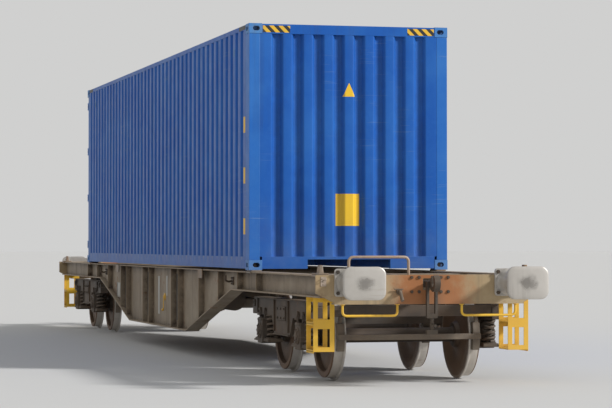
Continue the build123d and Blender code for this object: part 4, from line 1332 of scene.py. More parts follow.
    def pipe_cocks(self) -> None:
        """The brake pipe's end, with its cock and the cock's handle, through each headstock."""
        x, y, z = self.front, -0.34, 0.99
        corners = [(self.half_frame - 0.3, y, z), (x + 0.05, y, z), (x + 0.11, y, 0.93), (x + 0.13, y, 0.90)]
        pipe = bent_bar(corners, bend=0.02, radius=0.019, up=(0.0, 1.0, 0.0))
        ring = [(0.0, 0), (0.03, 0), (0.033, 0.004), (0.033, 0.026), (0.03, 0.03), (0.0, 0.03)]
        handle = plate((x + 0.02, x + 0.035), (-0.40, -0.30), (1.012, 1.024))
        skin = at_opposite_ends(joined([pipe, lathe(ring, (x, y, z), Axis.X, steps=20), handle]))
        self.shop.piece("brake_pipe_cocks", skin, "brake_gear")

    def rope_hooks(self) -> None:
        """Upturned hooks on bolted plates, two on each sill."""
        y, z = self.web, self.top - 0.13
        front = y + 0.096
        parts = []
        for x in (4.75, -4.75):
            hook = [(x, y, z), (x, y + 0.06, z - 0.012), (x, front, z + 0.004), (x, front, z + 0.07)]
            heads = [(x + a, y + 0.012, z + b) for a in (-0.042, 0.042) for b in (-0.034, 0.034)]
            parts.append(bent_bar(hook, bend=0.018, radius=0.0125, sides=12))
            parts.append(plate(around(x, 0.06), (y, y + 0.012), around(z, 0.05), edge=0.003))
            parts.append(bolts(heads, Axis.Y, 1, height=0.009, radius=0.010))
        self.shop.piece("rope_hooks", on_both_sides(joined(parts)), "hook_steel", "underframe")

    def card_holders(self) -> None:
        """A blank card on each sill, held by lips at its two sides and its foot."""
        x, low, high = -3.55, 0.66, 0.88
        lip = (self.web, self.web + 0.014)
        card = [plate(around(x, 0.15), (self.web, self.web + 0.005), (low, high), edge=0.002)]
        for a in (-0.15, 0.144):
            card.append(plate((x + a, x + a + 0.006), lip, (low, high), edge=0.001))
        card.append(plate(around(x, 0.15), lip, around(low, 0.003), edge=0.001))
        self.shop.piece("card_holders", on_both_sides(joined(card)), "plate_white", "underframe")

    def changeover_levers(self) -> None:
        """The brake's changeover lever on each sill: a turned hub, a flat lever and its knob."""
        x, z, web = 0.30, 0.74, self.web
        hub = [(0.0, 0.024), (0.020, 0.024), (0.024, 0.020), (0.026, 0.012), (0.050, 0.011)]
        hub += [(0.053, 0.008), (0.053, 0.0), (0.0, 0.0)]
        knob = [(0.0, 0.030), (0.010, 0.029), (0.018, 0.022), (0.020, 0.012), (0.016, 0.003)]
        knob += [(0.008, 0.0), (0.0, 0.0)]
        bar = plate(around(x, 0.011), (web + 0.018, web + 0.026), (z - 0.19, z + 0.02), edge=0.003)
        grip = lathe(knob, (x, web + 0.020, z - 0.18), Axis.Y, steps=20)
        skin = on_both_sides(joined([lathe(hub, (x, web, z), Axis.Y, steps=28), bar, grip]))
        self.shop.piece("changeover_levers", skin, "yellow_paint")

    def lamp_brackets(self) -> None:
        """A bolted plate with a loop for a lamp, at each corner of the wagon."""
        x, y0, y1, z = self.front, 1.132, 1.178, 1.125
        foot = plate((x, x + 0.006), (1.125, 1.185), (1.05, 1.15), edge=0.002)
        corners = [(x + 0.003, y0, z), (x + 0.045, y0, z), (x + 0.045, y1, z), (x + 0.003, y1, z)]
        loop = bent_bar(corners, bend=0.012, radius=0.005, sides=10, up=(0.0, 0.0, 1.0))
        spots = [(x + 0.006, 1.155, level) for level in (1.07, 1.10)]
        heads = bolts(spots, Axis.X, 1, height=0.006, radius=0.007)
        skin = on_four_corners(joined([foot, loop, heads]))
        self.shop.piece("lamp_brackets", skin, "rail_paint", "headstock")

    def brake_line(self) -> None:
        """The distributor with its pipes, the pull rods and beam, their hangers, and the pipe's clips."""
        parts = [*self.distributor(), *self.rods()]
        for x in self.hangers:
            parts.append(plate(around(x, 0.02), (-0.256, -0.244), (0.735, 0.95), edge=0.002))
            parts.append(plate(around(x, 0.022), (-0.278, -0.222), (0.730, 0.738), edge=0.002))
        clip = [(0.0172, -0.015), (0.022, -0.015), (0.022, 0.015), (0.0172, 0.015)]
        for x in self.clips:
            parts.append(lathe(clip, (x, self.pipe_y, 0.9285), Axis.X, steps=18, closed=True))
        self.shop.piece("brake_line", joined(parts), "brake_gear")

    def distributor(self) -> list[Surface]:
        """The distributor valve.

        Returns:
            Its turned body, the bolts round it, and a boss through its sides.
        """
        x, y = self.valve_x, self.pipe_y
        body = [(0.0, 0.69), (0.05, 0.69), (0.056, 0.696), (0.058, 0.735), (0.084, 0.740), (0.086, 0.756)]
        body += [(0.070, 0.762), (0.070, 0.830), (0.088, 0.836), (0.088, 0.856), (0.055, 0.862)]
        body += [(0.050, 0.905), (0.0, 0.905)]
        ring = np.insert(circle(6, radius=0.076) + (x, y), 2, 0.740, axis=1)
        boss = [(0.0, 0.115), (0.034, 0.115), (0.038, 0.110), (0.038, 0.070), (0.028, 0.064), (0.0, 0.064)]
        return [
            lathe(body, (x, y, 0), Axis.Z, steps=32),
            bolts(ring, Axis.Z, -1, height=0.009, radius=0.008),
            lathe(boss, (x, y, 0.796), Axis.X, steps=24),
        ]

    def rods(self) -> list[Surface]:
        """The distributor's pipes and the brake's rods.

        Returns:
            The pipes to the reservoir and the cylinder, the two pull rods, and the three bars of their beam.
        """
        x, y, out_y, rod_y, rod_z = self.valve_x, self.pipe_y, -0.596, -0.25, 0.753
        reservoir = [(x - 0.05, y, 0.80), (-1.525, y, 0.80), (-1.525, y, 0.723), (-1.525, -0.15, 0.723)]
        cylinder = [(x + 0.10, y, 0.796), (0.0, y, 0.796), (0.05, out_y, 0.796), (1.47, out_y, 0.796)]
        rear_rod = [(along, rod_y, rod_z) for along in (-5.40, -4.0, -0.35, 0.12)]
        front_rod = [(along, rod_y, rod_z) for along in (1.02, 1.8, 4.8, 5.40)]
        lean = (0.5, -0.6, 0.7)
        bars = [bent_bar(reservoir, 0.03, 0.011, 12, lean), bent_bar(cylinder, 0.015, 0.011, 12, lean)]
        bars += [bent_bar(rod, bend=0.03, radius=0.015, sides=12, up=lean) for rod in (rear_rod, front_rod)]
        for span in ((0.985, 1.025), (0.09, 0.13)):
            bars.append(plate(span, (-0.50, -0.18), (0.745, 0.761), edge=0.004))
        bars.append(plate((0.10, 1.01), (-0.49, -0.46), (0.747, 0.759), edge=0.004))
        return bars


# Buffers and draw gear


@dataclass
class EndGear:
    """Buffers, draw hooks and couplings of both ends.

    Args:
        shop: where pieces are made.
        reach: face of a buffer's head.
        base: back of a buffer's base plate.
    """

    shop: Workshop
    reach: float = 9.87
    base: float = 9.27

    def build(self) -> None:
        """Makes the buffers of each end and dresses its hook."""
        for end, sign in (("front", 1), ("rear", -1)):
            skin = on_both_sides(joined([self.head(), self.casing()])).scaled(x=sign)
            self.shop.piece(f"{end}_buffer_set", skin, "buffer_steel", instead=[f"{end}_buffers"])
            self.shop.eased(f"{end}_draw_hook", "hook_steel", width=0.004)
            self.shop.piece(f"{end}_screw_thread", self.thread().scaled(x=sign), "hook_steel")

    def thread(self) -> Surface:
        """The front coupling screw's thread, a thin helix, and its handle.

        Returns:
            The helix, the handle's bar and its end ball as one skin.
        """
        turns = np.linspace(0, 11, 11 * 16)
        x = self.base + 0.06
        path = helix(0.0195, TURN * turns, 0.592 + 0.0112 * turns) + (x, 0.0, 0.0)
        bar = np.array([(x, 0.0, 0.655), (x + 0.06, 0.0, 0.652), (x + 0.12, 0.0, 0.640)])
        ball = [(0.0, 0.018), (0.010, 0.015), (0.016, 0.006), (0.016, -0.006), (0.010, -0.015), (0.0, -0.018)]
        end = lathe(ball, (x + 0.125, 0, 0.639), Axis.Z, steps=16)
        return joined([tube(path, radius=0.0028, sides=5), tube(bar, radius=0.009), end])

    def head(self) -> Surface:
        """A rounded plate whose crowned front falls away by the square of the distance from its middle.

        Each ring is the outline times a share, at a depth behind the face; the back runs in to the plunger.

        Returns:
            The front left buffer's head.
        """
        outline = rounded_rectangle(wide=0.450, tall=0.340, corner=0.085, steps=8)
        front = [(share, 0.008 * share * share) for share in (0.0, 0.25, 0.5, 0.75, 0.93)]
        rim = [(0.98, 0.0095), (1.0, 0.014), (1.0, 0.034), (0.985, 0.038), (0.6, 0.042), (0.42, 0.075)]
        rings = [(outline * share, self.reach - depth) for share, depth in front + rim]
        return lofted(rings, Axis.X).moved(0, BUFFER_Y, BUFFER_Z)

    def casing(self) -> Surface:
        """What carries a buffer's head: a form turned about the buffer's own axis, and its base plate.

        Returns:
            Plunger, sleeve, end ring and base plate of the front left buffer.
        """
        length = self.reach - self.base
        plunger = [(0.0, length - 0.05), (0.092, length - 0.05), (0.092, 0.375), (0.112, 0.372)]
        ring = [(0.128, 0.366), (0.132, 0.360), (0.132, 0.335), (0.124, 0.328), (0.118, 0.30)]
        sleeve = [(0.118, 0.075), (0.125, 0.05), (0.145, 0.026), (0.0, 0.026)]
        turned = lathe(plunger + ring + sleeve, (self.base, BUFFER_Y, BUFFER_Z), Axis.X, steps=48)
        outline = rounded_rectangle(wide=0.330, tall=0.290, corner=0.03)
        foot = pressed(outline, Axis.X, self.base, self.base + 0.026, edge=0.003)
        return joined([turned, foot.moved(0, BUFFER_Y, BUFFER_Z)])


# Bogies


@dataclass
class Bogie:
    """One bogie: frame, axle boxes, coil springs, brakes and two wheelsets.

    Args:
        shop: where pieces are made.
        end: front or rear.
        pivot: x of the centre pivot.
        frame_y: middle of a side frame.
        wheelbase: distance between the two axles.
    """

    shop: Workshop
    end: str
    pivot: float
    frame_y: float = 1.0
    wheelbase: float = 1.8

    @property
    def body(self) -> str:
        """The body that the bogie's frame belongs to."""
        return f"{self.end}_bogie"

    @property
    def axles(self) -> Span:
        """x of both axles."""
        return around(self.pivot, self.wheelbase / 2)

    def build(self) -> None:
        """Makes and dresses everything of the bogie."""
        for node, slot, width in (
            ("frame", "bogie_black", 0.008),
            ("axle_boxes", "bogie_black", 0.006),
            ("brakes", "brake_gear", 0.004),
        ):
            self.shop.eased(f"{self.body}_{node}", slot, width=width, body=self.body)
        self.springs()
        self.box_covers()
        self.frame_ribs()
        inner, outer = sorted(self.axles, key=abs)
        self.wheelset("inner", inner)
        self.wheelset("outer", outer)

    def springs(self) -> None:
        """Coil springs: an outer and an inner helix a nest, whose ends are wound flat on their seats.

        The height is level over the dead share of the turns at each end and rises evenly over the live share.
        """
        low, high = above_rail(0.370, 0.640)
        plate_z, dead, live = 0.008, 0.09, 0.82
        parts = []
        for wire, radius, turns in ((0.0145, 0.0655, 4.6), (0.009, 0.036, 6.2)):
            t = np.linspace(0, 1, 150)
            rise = np.clip((t - dead) / live, 0, 1)
            z = low + plate_z + wire + rise * (high - low - 2 * plate_z - 2 * wire)
            parts.append(tube(helix(radius, TURN * turns * t, z), radius=wire, sides=8))
        seat = [(0.0, 0.0), (0.084, 0.0), (0.088, 0.002), (0.088, 0.008), (0.084, 0.010), (0.0, 0.010)]
        cup = [(0.0, -0.012), (0.080, -0.012), (0.086, -0.009), (0.086, 0.0), (0.0, 0.0)]
        parts += [lathe(seat, (0, 0, low), Axis.Z, steps=24), lathe(cup, (0, 0, high), Axis.Z, steps=24)]
        sides = (-self.frame_y, self.frame_y)
        stands = [(middle, y, 0.0) for x in self.axles for middle in around(x, 0.23) for y in sides]
        skin = joined(parts).repeated(np.array(stands))
        springs = [f"{self.body}_springs"]
        self.shop.piece(f"{self.body}_coils", skin, "spring_steel", body=self.body, instead=springs)

    def box_covers(self) -> None:
        """Round bolted covers on the axle boxes, with a raised middle."""
        dome = [(0.0, 0.030), (0.042, 0.030), (0.047, 0.027), (0.050, 0.018), (0.086, 0.015)]
        rim = [(0.092, 0.011), (0.094, -0.002), (0.0, -0.002)]
        cover = lathe(dome + rim, (0, 1.11, AXLE_Z), Axis.Y, steps=36)
        ring = np.insert(circle(8, radius=0.069) + (0, AXLE_Z), 1, 1.126, axis=1)
        part = joined([cover, bolts(ring, Axis.Y, 1, height=0.010, radius=0.011)])
        skin = joined([on_both_sides(part.moved(x)) for x in self.axles])
        self.shop.piece(f"{self.end}_box_covers", skin, "spring_steel", "bogie_black", self.body)

    def frame_ribs(self) -> None:
        """Flange strips along the side frames' tops and noses, and ribs on their outer faces."""
        outer, middle = self.frame_y + 0.065, self.pivot
        flange = (outer - 0.002, outer + 0.02)
        parts = []
        for x, foot in ((-1.15, 0.66), (-0.33, 0.47), (0.33, 0.47), (1.15, 0.66)):
            rib_y = (outer - 0.002, outer + 0.022)
            parts.append(plate(around(middle + x, 0.007), rib_y, above_rail(foot, 0.83), edge=0.003))
        parts.append(plate(around(middle, 1.30), flange, above_rail(0.828, 0.844), edge=0.003))
        parts.append(plate(around(middle, 0.36), flange, above_rail(0.432, 0.448), edge=0.003))
        plate_y = (outer - 0.001, outer + 0.014)
        parts.append(plate(around(middle, 0.19), plate_y, above_rail(0.60, 0.76), edge=0.004))
        rows = around(RAIL + 0.68, 0.052)
        heads = [(middle + a, outer + 0.014, z) for a in (-0.15, 0.0, 0.15) for z in rows]
        parts.append(bolts(heads, Axis.Y, 1, height=0.012, radius=0.013))
        eye = [(0.021, -0.008), (0.024, -0.010), (0.040, -0.010), (0.043, -0.007)]
        eye += [(radius, -along) for radius, along in reversed(eye)]
        for x in (-1.34, 1.34):
            parts.append(lathe(eye, (middle + x, outer + 0.006, RAIL + 0.77), Axis.Y, steps=24, closed=True))
        brow = (self.frame_y + 0.108, self.frame_y + 0.118)
        keep = (self.frame_y + 0.088, self.frame_y + 0.096)
        for x in self.axles:
            parts.append(plate(around(x, 0.10), brow, above_rail(0.575, 0.598), edge=0.003))
            parts.append(plate(around(x, 0.35), keep, above_rail(0.332, 0.352), edge=0.003))
        parts += [self.link(spot) for x in self.axles for spot in around(x, 0.119)]
        skin = on_both_sides(joined(parts))
        self.shop.piece(f"{self.body}_ribs", skin, "bogie_black", body=self.body)

    def link(self, x: float) -> Surface:
        """A damper cap with its hanging ring, beside an axle box.

        Args:
            x: middle of the cap.

        Returns:
            The skin.
        """
        profile = [(0.0, 0.028), (0.020, 0.028), (0.024, 0.024), (0.024, 0.0), (0.0, 0.0)]
        cap = lathe(profile, (x, self.frame_y + 0.064, RAIL + 0.70), Axis.Y, steps=20)
        turn = np.linspace(0, TURN, 24)
        across, down = x + 0.026 * np.cos(turn), RAIL + 0.665 + 0.052 * np.sin(turn)
        ring = np.stack([across, np.full(24, self.frame_y + 0.078), down], -1)
        return joined([cap, tube(ring, radius=0.008, sides=8, up=(0.0, 1.0, 0.0))])

    def wheelset(self, place: str, x: float) -> None:
        """Axle and two wheels turned about the axle line: hubs, dished webs, rims, flanges and treads.

        The web's faces swell by the sine of their share of the way, and the flange's tip is half an ellipse.

        Args:
            place: inner or outer.
            x: the axle's place.
        """
        web = np.linspace(0, 1, 10)
        back = np.stack([0.150 + 0.225 * web, 0.700 + 0.034 * np.sin(math.pi * web)], -1)
        front = np.stack([0.375 - 0.225 * web, 0.775 + 0.020 * np.sin(math.pi * web)], -1)
        flange = np.linspace(0, math.pi, 9)
        tip = np.stack([0.474 + 0.0138 * np.sin(flange), 0.704 - 0.014 * np.cos(flange)], -1)
        half = np.vstack([
            [(0.082, 0.640), (0.094, 0.652), (0.128, 0.655), (0.138, 0.664)],
            back,
            [(0.388, 0.696), (0.396, 0.691), (0.470, 0.690)],
            tip,
            [(0.4655, 0.7205), (0.4615, 0.7265), (0.4600, 0.7350)],
            [(0.4585, 0.780), (0.4570, 0.818), (0.4530, 0.8245)],
            [(0.398, 0.825), (0.390, 0.818), (0.384, 0.792)],
            front,
            [(0.140, 0.800), (0.134, 0.829), (0.128, 0.834), (0.098, 0.835)],
            [(0.090, 0.842), (0.088, 0.885), (0.0, 0.885)],
        ])
        middle = [(0.0785, -0.60), (0.078, 0.0), (0.0785, 0.60)]
        rows = np.vstack([half[::-1] * (1, -1), middle, half])
        skin = lathe(rows, (x, 0, AXLE_Z), Axis.Y, steps=96)
        name = f"{self.end}_{place}_wheelset"
        self.shop.piece(f"{name}_turned", skin, f"wheel_steel_{x:+.1f}", "wheel_steel", name, [name])


# The container


@dataclass
class Corrugation:
    """A pressed sheet's waves: outer flats, slopes and grooves.

    Args:
        count: how many grooves it has.
        pitch: from one groove to the next.
        flat: width of an outer flat.
        groove: width of a groove's floor.
        depth: from the flats down to the grooves' floors.
        half: from the sheet's middle to its ends.
        bend: how far from a corner its bend starts.
    """

    count: int
    pitch: float
    flat: float
    groove: float
    depth: float
    half: float
    bend: float

    def line(self) -> Array:
        """The sheet's line: flats at no depth, grooves at full depth, slopes between them, bends rounded.

        Returns:
            (n, 2) distance along the sheet and depth below its outer flats.
        """
        slope = (self.pitch - self.flat - self.groove) / 2
        middles = (np.arange(self.count) + 0.5 - self.count / 2) * self.pitch
        near, far = self.groove / 2, self.groove / 2 + slope
        offsets = np.array([(-far, 0.0), (-near, self.depth), (near, self.depth), (far, 0.0)])
        waves = (middles[:, None, None] * (1, 0) + offsets[None]).reshape(-1, 2)
        corners = np.vstack([[(-self.half, 0.0)], waves, [(self.half, 0.0)]])
        return bent_sheet(corners, self.bend)

    def depth_at(self, along: Array) -> Array:
        """Depth of the sheet at distances along it."""
        line = self.line()
        return np.interp(along, line[:, 0], line[:, 1])


SIDE = Corrugation(count=42, pitch=0.278, flat=0.142, groove=0.068, depth=0.036, half=5.918, bend=0.012)
FRONT = Corrugation(count=8, pitch=0.250, flat=0.110, groove=0.072, depth=0.045, half=1.085, bend=0.012)
ROOF = Corrugation(count=14, pitch=0.830, flat=0.560, groove=0.150, depth=0.020, half=5.918, bend=0.02)


@dataclass
class Container:
    """The forty-foot high-cube container without its doors.

    Args:
        shop: where pieces are made.
        wall_y: outer face of a side wall's flats.
        front_x: outer face of the front wall's flats.
        roof_z: outer face of the roof's flats.
        sheet: thickness of the sheets.
        wall_z: foot and top of the side walls' sheets.
        front_z: foot and top of the front wall's sheet.
    """

    shop: Workshop
    wall_y: float = 1.214
    front_x: float = 6.090
    roof_z: float = SEAT + 2.888
    sheet: float = 0.003
    wall_z: Span = (SEAT + 0.158, SEAT + 2.836)
    front_z: Span = (SEAT + 0.158, SEAT + 2.778)

    def build(self) -> None:
        """Makes and dresses everything of the container but the doors."""
        for node in ("rear_header_and_sill", "top_side_rails", "bottom_side_rails"):
            self.shop.eased(node, "container_blue", width=0.004, edge="blue_edge")
        self.shop.eased("front_header_and_sill", "container_blue", width=0.0009, edge="blue_edge")
        for node in ("front_corner_posts", "rear_corner_posts"):
            self.shop.eased(node, "container_blue", width=0.003, finish="post_blue", edge="blue_edge")
        self.shop.eased("corner_castings", "casting_blue", width=0.006, edge="blue_edge")
        self.shop.dress("floor_cross_members", "container_blue")
        self.shop.dress("container_floor", "floor_ply")
        self.walls()
        self.roof()
        self.labels()
        self.stripes()
        self.vents()
        self.seams()
        self.corner_plates()

    def fit(self, name: str, skin: Surface, finish: str, instead: Sequence[str] = ()) -> None:
        """Makes a piece of the container, whatever its finish."""
        self.shop.piece(name, skin, finish, "container_blue", instead=instead)

    def folded(self, waves: Corrugation) -> Array:
        """Closed outline of a bent sheet: its line, and the line a sheet's thickness deeper, backwards."""
        line = waves.line()
        return np.vstack([line, (line + (0.0, self.sheet))[::-1]])

    def carried(self, outline: Array, axis: Axis, span: Span) -> Surface:
        """A folded sheet: its outline carried along an axis in a few steps, with its ends closed by quads.

        Args:
            outline: (n, 2) points in the plane square to the axis.
            axis: the axis that the waves run along.
            span: where it starts and ends.

        Returns:
            The skin.
        """
        steps = 7
        skin = lofted([(outline, level) for level in np.linspace(*span, steps)], axis, capped=False)
        half = len(outline) // 2
        index = np.arange(half - 1)
        for row in (0, steps - 1):
            start = row * len(outline)
            a, b = start + index, start + 2 * half - 1 - index
            skin.faces += np.stack([a, a + 1, b - 1, b], -1).tolist()
        return skin

    def walls(self) -> None:
        """Both side walls and the front wall."""
        left = self.carried(self.folded(SIDE) * (1, -1) + (0, self.wall_y), Axis.Z, self.wall_z)
        self.fit("left_wall_sheet", left, "container_blue", ["left_side_wall"])
        self.fit("right_wall_sheet", left.scaled(y=-1), "container_blue", ["right_side_wall"])
        outline = self.folded(FRONT)[:, ::-1] * (-1, 1) + (self.front_x, 0)
        front = self.carried(outline, Axis.Z, self.front_z)
        self.fit("front_wall_sheet", front, "container_blue", ["front_end_wall"])

    def roof(self) -> None:
        """The roof sheet, pressed with shallow troughs across."""
        sheet = self.carried(self.folded(ROOF) * (1, -1) + (0, self.roof_z), Axis.Y, (-1.154, 1.154))
        self.fit("roof_sheet", sheet, "roof_blue", ["container_roof"])

    def sticker(self, waves: Corrugation, u: Span, z: Span, taper: float = 0.0) -> Surface:
        """A thin label that follows the waves: a grid over the sheet, lifted by six tenths of a millimetre.

        Args:
            waves: the sheet that it sticks to.
            u: its sides along the sheet.
            z: its foot and top.
            taper: share of its width that is lost at the top, 1 for a triangle.

        Returns:
            The skin, with X along the sheet and Y the depth below its flats.
        """
        middle, half = (u[0] + u[1]) / 2, (u[1] - u[0]) / 2
        v = np.linspace(0, 1, 12)[:, None]
        across = np.linspace(-1, 1, 61)[None]
        along = middle + half * across * (1 - taper * v)
        depth = waves.depth_at(along)
        height = np.broadcast_to(z[0] + (z[1] - z[0]) * v, along.shape)
        face, back = [np.stack([along, depth - lift, height], -1) for lift in (0.0006, -0.0002)]
        top = grid(face)
        count = len(top.points)
        under = [[i + count for i in reversed(quad)] for quad in top.faces]
        index = np.arange(count).reshape(along.shape)
        ring = np.concatenate([index[0], index[1:, -1], index[-1, -2::-1], index[-2:0:-1, 0]])
        after = np.roll(ring, -1)
        rim = np.stack([ring, after, after + count, ring + count], -1).tolist()
        return Surface(np.vstack([top.points, back.reshape(-1, 3)]), top.faces + under + rim)

    def labels(self) -> None:
        """Blank yellow labels: a triangle and a square on the front wall, three marks on each side wall."""
        triangle = self.sticker(FRONT, (-0.075, 0.075), above_seat(2.05, 2.21), taper=0.97)
        square = self.sticker(FRONT, (-0.155, 0.135), above_seat(0.52, 0.90))
        fronts = joined([triangle, square])
        points = fronts.points[:, [1, 0, 2]] * (-1, 1, 1) + (self.front_x, 0, 0)
        self.fit("front_labels", Surface(points, fronts.faces), "label_yellow")
        marks = [self.sticker(SIDE, (5.79, 5.885), (SEAT + z, SEAT + z + 0.19)) for z in (0.42, 1.02, 1.62)]
        left = joined(marks).scaled(y=-1).moved(y=self.wall_y)
        self.fit("side_marks", on_both_sides(left), "label_yellow")

    def stripes(self) -> None:
        """Warning stripes at the top corners: on the front header and on the side rails near the ends."""
        front = plate((6.0915, 6.0928), (0.72, 1.05), above_seat(2.792, 2.872), edge=0.0004)
        rail = plate((5.55, 5.91), (1.2139, 1.2149), above_seat(2.840, 2.888), edge=0.0004)
        self.fit("corner_stripes", joined([on_both_sides(front), on_four_corners(rail)]), "warning_stripes")

    def vents(self) -> None:
        """Two small vents high on each side wall: a plate with four louvres."""
        face, pitch = self.wall_y, 0.020
        parts = []
        for x in (-5.282, 5.282):
            parts.append(plate(around(x, 0.06), around(face, 0.002), above_seat(2.56, 2.66), edge=0.002))
            for i in range(4):
                z = SEAT + 2.575 + i * pitch
                parts.append(plate(around(x, 0.048), (face, face + 0.0045), (z, z + 0.008), edge=0.001))
        self.fit("vents", on_both_sides(joined(parts)), "blue_edge")

    def seams(self) -> None:
        """Weld beads between the pressed sheets: upright on each side wall, and across the roof.

        A bead is a low arch, height times the root of 1 − (offset / half width)², with a flat, sunk foot.
        """
        half, height, sunk = 0.0035, 0.0024, -0.001
        offset = np.cos(np.linspace(0, math.pi, 6))
        arch = np.stack([half * offset, height * np.sqrt(np.clip(1 - offset**2, 0, 1))], -1)
        profile = np.vstack([arch, [(-half, sunk), (half, sunk)]])
        upright = lofted([(profile, z) for z in self.wall_z], Axis.Z)
        across = lofted([(profile, y) for y in (-1.15, 1.15)], Axis.Y)
        walls = joined([upright.moved(x, self.wall_y) for x in np.arange(-16, 20, 4) * SIDE.pitch])
        roofs = [across.moved(x, 0.0, self.roof_z) for x in np.arange(-6, 7) * ROOF.pitch]
        self.fit("weld_beads", joined([on_both_sides(walls), *roofs]), "blue_edge")

    def corner_plates(self) -> None:
        """Doubler plates on the roof beside each corner casting, edged by a weld bead."""
        x, y, foot = (5.63, 5.912), (0.845, 1.148), self.roof_z - 0.001
        bead_z = (foot, self.roof_z + 0.003)
        parts = [plate(x, y, (foot, self.roof_z + 0.0045))]
        parts.append(plate((5.626, 5.634), y, bead_z, edge=0.0012))
        parts.append(plate(x, (0.841, 0.849), bead_z, edge=0.0012))
        self.fit("roof_corner_plates", on_four_corners(joined(parts)), "blue_edge")


@dataclass
class Door:
    """One door leaf with its gasket and lock gear.

    Args:
        shop: where pieces are made.
        side: left or right.
        sign: 1 for the left leaf, -1 for the right one.
        face: outer face of the leaf's frame.
        leaf_y: sides of the leaf.
        leaf_z: foot and top of the leaf.
        flat_x: outer face of its sheet on the flats between the grooves.
        groove_x: outer face of its sheet in the grooves.
        handle_x: middle of the lock rods' handles.
    """

    shop: Workshop
    side: str
    sign: int
    face: float = -6.024
    leaf_y: Span = (0.009, 1.163)
    leaf_z: Span = (SEAT + 0.165, SEAT + 2.765)
    flat_x: float = -6.022
    groove_x: float = -5.992
    handle_x: float = -6.046

    @property
    def body(self) -> str:
        """The body of the leaf."""
        return f"{self.side}_door"

    def build(self) -> None:
        """Makes and dresses the leaf."""
        self.shop.eased(self.body, "container_blue", width=0.0035, body=self.body, edge="blue_edge")
        self.shop.eased(f"{self.body}_lock_rods", "galvanised", width=0.0025, body=self.body)
        self.gasket()
        self.fittings()
        self.plates()

    def fit(self, name: str, parts: Sequence[Surface], finish: str, slot: str) -> None:
        """Makes a piece of the leaf from parts of the left one, mirrored for the right one."""
        skin = joined(parts).scaled(y=self.sign)
        self.shop.piece(f"{self.body}_{name}", skin, finish, slot, self.body)

    def gasket(self) -> None:
        """The rubber seal round the leaf's outer face: a half-round strip along its edges."""
        depth, half, inset, edge = (self.face - 0.003, self.face + 0.004), 0.008, 0.009, 0.0025
        (y0, y1), (z0, z1) = self.leaf_y, self.leaf_z
        upright = [plate(depth, around(y, half), self.leaf_z, edge=edge) for y in (y0 + inset, y1 - inset)]
        across = [plate(depth, self.leaf_y, around(z, half), edge=edge) for z in (z0 + inset, z1 - inset)]
        self.fit("gasket", upright + across, "rubber", "container_blue")

    def fittings(self) -> None:
        """Bolt heads on the hinge straps and rod guides, and the handles' catches."""
        x, hinges, guides = self.face, (0.30, 1.08, 1.86, 2.62), (0.25, 1.5, 2.68)
        straps = [(x - 0.012, y, SEAT + z) for z in hinges for y in (1.03, 1.11)]
        rods = [(x, y, SEAT + z) for rod in (0.33, 0.93) for z in guides for y in around(rod, 0.042)]
        parts = [
            bolts(straps, Axis.X, -1, height=0.008, radius=0.012),
            bolts(rods, Axis.X, -1, height=0.006, radius=0.010),
            self.catch(y=0.655, height=1.01, sheet=self.groove_x),
            self.catch(y=0.605, height=1.18, sheet=self.flat_x),
        ]
        self.fit("fittings", parts, "galvanised", "galvanised")

    def plates(self) -> None:
        """Two blank riveted plates, one on a flat of the sheet and one in a groove."""
        parts = []
        for foot, sheet in ((0.66, self.flat_x), (0.42, self.groove_x)):
            low, high = SEAT + foot, SEAT + foot + 0.13
            rivets = [(sheet - 0.002, y, z) for y in (0.43, 0.61) for z in (low + 0.01, high - 0.01)]
            parts.append(plate((sheet - 0.002, sheet + 0.001), (0.42, 0.62), (low, high), edge=0.001))
            parts.append(bolts(rivets, Axis.X, -1, height=0.002, radius=0.004))
        self.fit("plates", parts, "plate_white", "container_blue")

    def catch(self, y: float, height: float, sheet: float) -> Surface:
        """A handle's catch: a block on the sheet, jaws above and below the handle, and a hasp over it.

        Args:
            y: middle of the catch.
            height: height of the handle above the container's foot.
            sheet: the sheet's outer face there.

        Returns:
            The skin.
        """
        z, x = SEAT + height, self.handle_x
        parts = [plate((x + 0.009, sheet + 0.001), around(y, 0.03), around(z, 0.045), edge=0.003)]
        for low in (-0.030, 0.019):
            parts.append(plate(around(x, 0.012), around(y, 0.022), (z + low, z + low + 0.011), edge=0.002))
        parts.append(plate((x - 0.015, x - 0.010), around(y, 0.014), around(z, 0.036), edge=0.001))
        heads = [(x - 0.015, y, z + 0.026), (x - 0.015, y, z - 0.024)]
        parts.append(bolts(heads, Axis.X, -1, height=0.004, radius=0.006))
        return joined(parts)


# Light, floor and camera


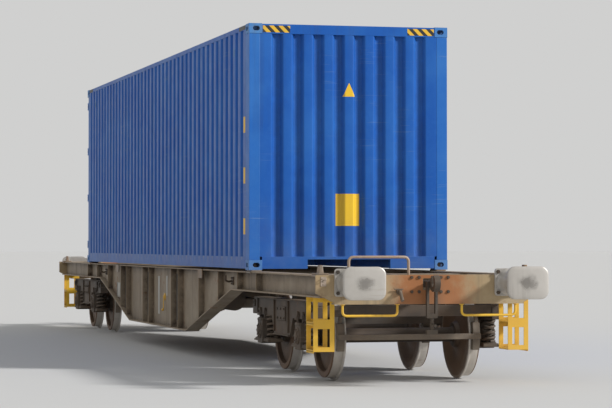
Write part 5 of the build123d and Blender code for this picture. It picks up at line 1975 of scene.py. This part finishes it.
@dataclass
class Studio:
    """Floor, lights and camera.

    Args:
        eye: the photograph's viewpoint.
        target: the point that the camera looks at.
        lens: focal length in millimetres.
        sensor: width of the sensor in millimetres.
        sight: how far the camera sees.
        floor_half: from the floor's middle to its sides.
        floor_colour: the floor's own colour.
        sky: colour of the even light.
        sky_strength: its strength.
        background: what the camera sees behind everything, as bright as the far floor.
    """

    eye: Triple = (32.07, -7.17, 1.49)
    target: Triple = (0.0, 1.03, 2.07)
    lens: float = 134.0
    sensor: float = 36.0
    sight: float = 2000.0
    floor_half: float = 400.0
    floor_colour: Colour = (0.62, 0.61, 0.59)
    sky: Colour = (0.93, 0.96, 1.0)
    sky_strength: float = 0.42
    background: Colour = (0.63, 0.63, 0.625)

    def build(self) -> None:
        """Makes the floor, the lamps, the world and the camera."""
        self.floor()
        self.lamp("key_lamp", towards=(0.52, 1.0, 0.6), power=3.5, spread=0.14)
        self.lamp("fill_lamp", towards=(0.75, -0.8, 0.7), power=0.22, spread=0.9)
        self.world()
        self.camera()

    def floor(self) -> None:
        """A wide pale floor."""
        half = self.floor_half
        mesh = bpy.data.meshes.new("studio_floor")
        corners = [(-half, -half, 0.0), (half, -half, 0.0), (half, half, 0.0), (-half, half, 0.0)]
        mesh.from_pydata(corners, [], [(0, 1, 2, 3)])
        material = bpy.data.materials.new("floor_grey")
        material.use_nodes = True
        shader = material.node_tree.nodes["Principled BSDF"]
        shader.inputs["Base Color"].default_value = rgba(self.floor_colour)
        shader.inputs["Roughness"].default_value = 0.9
        mesh.materials.append(material)
        floor = add_object("studio_floor", mesh)

    def lamp(self, name: str, towards: Triple, power: float, spread: float) -> None:
        """A distant soft lamp.

        Args:
            name: its name.
            towards: the direction that its light comes from.
            power: its strength.
            spread: its angle as seen from the ground, which softens the shadows.
        """
        data = bpy.data.lights.new(name, "SUN")
        data.energy = power
        data.angle = spread
        add_object(name, data).rotation_euler = Vector(towards).to_track_quat("Z", "Y").to_euler()

    def world(self) -> None:
        """Even soft light, and a pale background for the camera."""
        world = bpy.data.worlds.new("studio_world")
        bpy.context.scene.world = world
        world.use_nodes = True
        wire = Wire(world.node_tree)
        world.node_tree.nodes.clear()
        rays = wire.node("ShaderNodeLightPath").outputs
        seen = wire.math("MAXIMUM", rays["Is Camera Ray"], rays["Is Glossy Ray"])
        soft = wire.node("ShaderNodeBackground", {0: rgba(self.sky), 1: self.sky_strength})
        pale = wire.node("ShaderNodeBackground", {0: rgba(self.background), 1: 1.0})
        mixed = wire.node("ShaderNodeMixShader", {0: seen, 1: soft.outputs[0], 2: pale.outputs[0]})
        wire.node("ShaderNodeOutputWorld", {0: mixed.outputs[0]})

    def camera(self) -> None:
        """The photograph's viewpoint with a longer lens."""
        data = bpy.data.cameras.new("view_camera")
        data.lens = self.lens
        data.sensor_width = self.sensor
        data.clip_end = self.sight
        made = add_object("view_camera", data)
        made.location = self.eye
        made.rotation_euler = (Vector(self.target) - Vector(self.eye)).to_track_quat("-Z", "Y").to_euler()
        bpy.context.scene.camera = made


def main() -> None:
    """Builds every sub-assembly in order."""
    logging.basicConfig(level=logging.INFO, format="%(name)s %(message)s")
    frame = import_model()
    bpy.context.scene.view_settings.view_transform = "Standard"
    shop = Workshop(frame["nodes"], Paints())
    Underframe(shop).build()
    EndGear(shop).build()
    for end, pivot in (("front", PIVOT_X), ("rear", -PIVOT_X)):
        Bogie(shop, end, pivot).build()
    Container(shop).build()
    for side, sign in (("left", 1), ("right", -1)):
        Door(shop, side, sign).build()
    Studio().build()
    log.info("%d new pieces", len(shop.made))


if __name__ == "__main__":
    main()
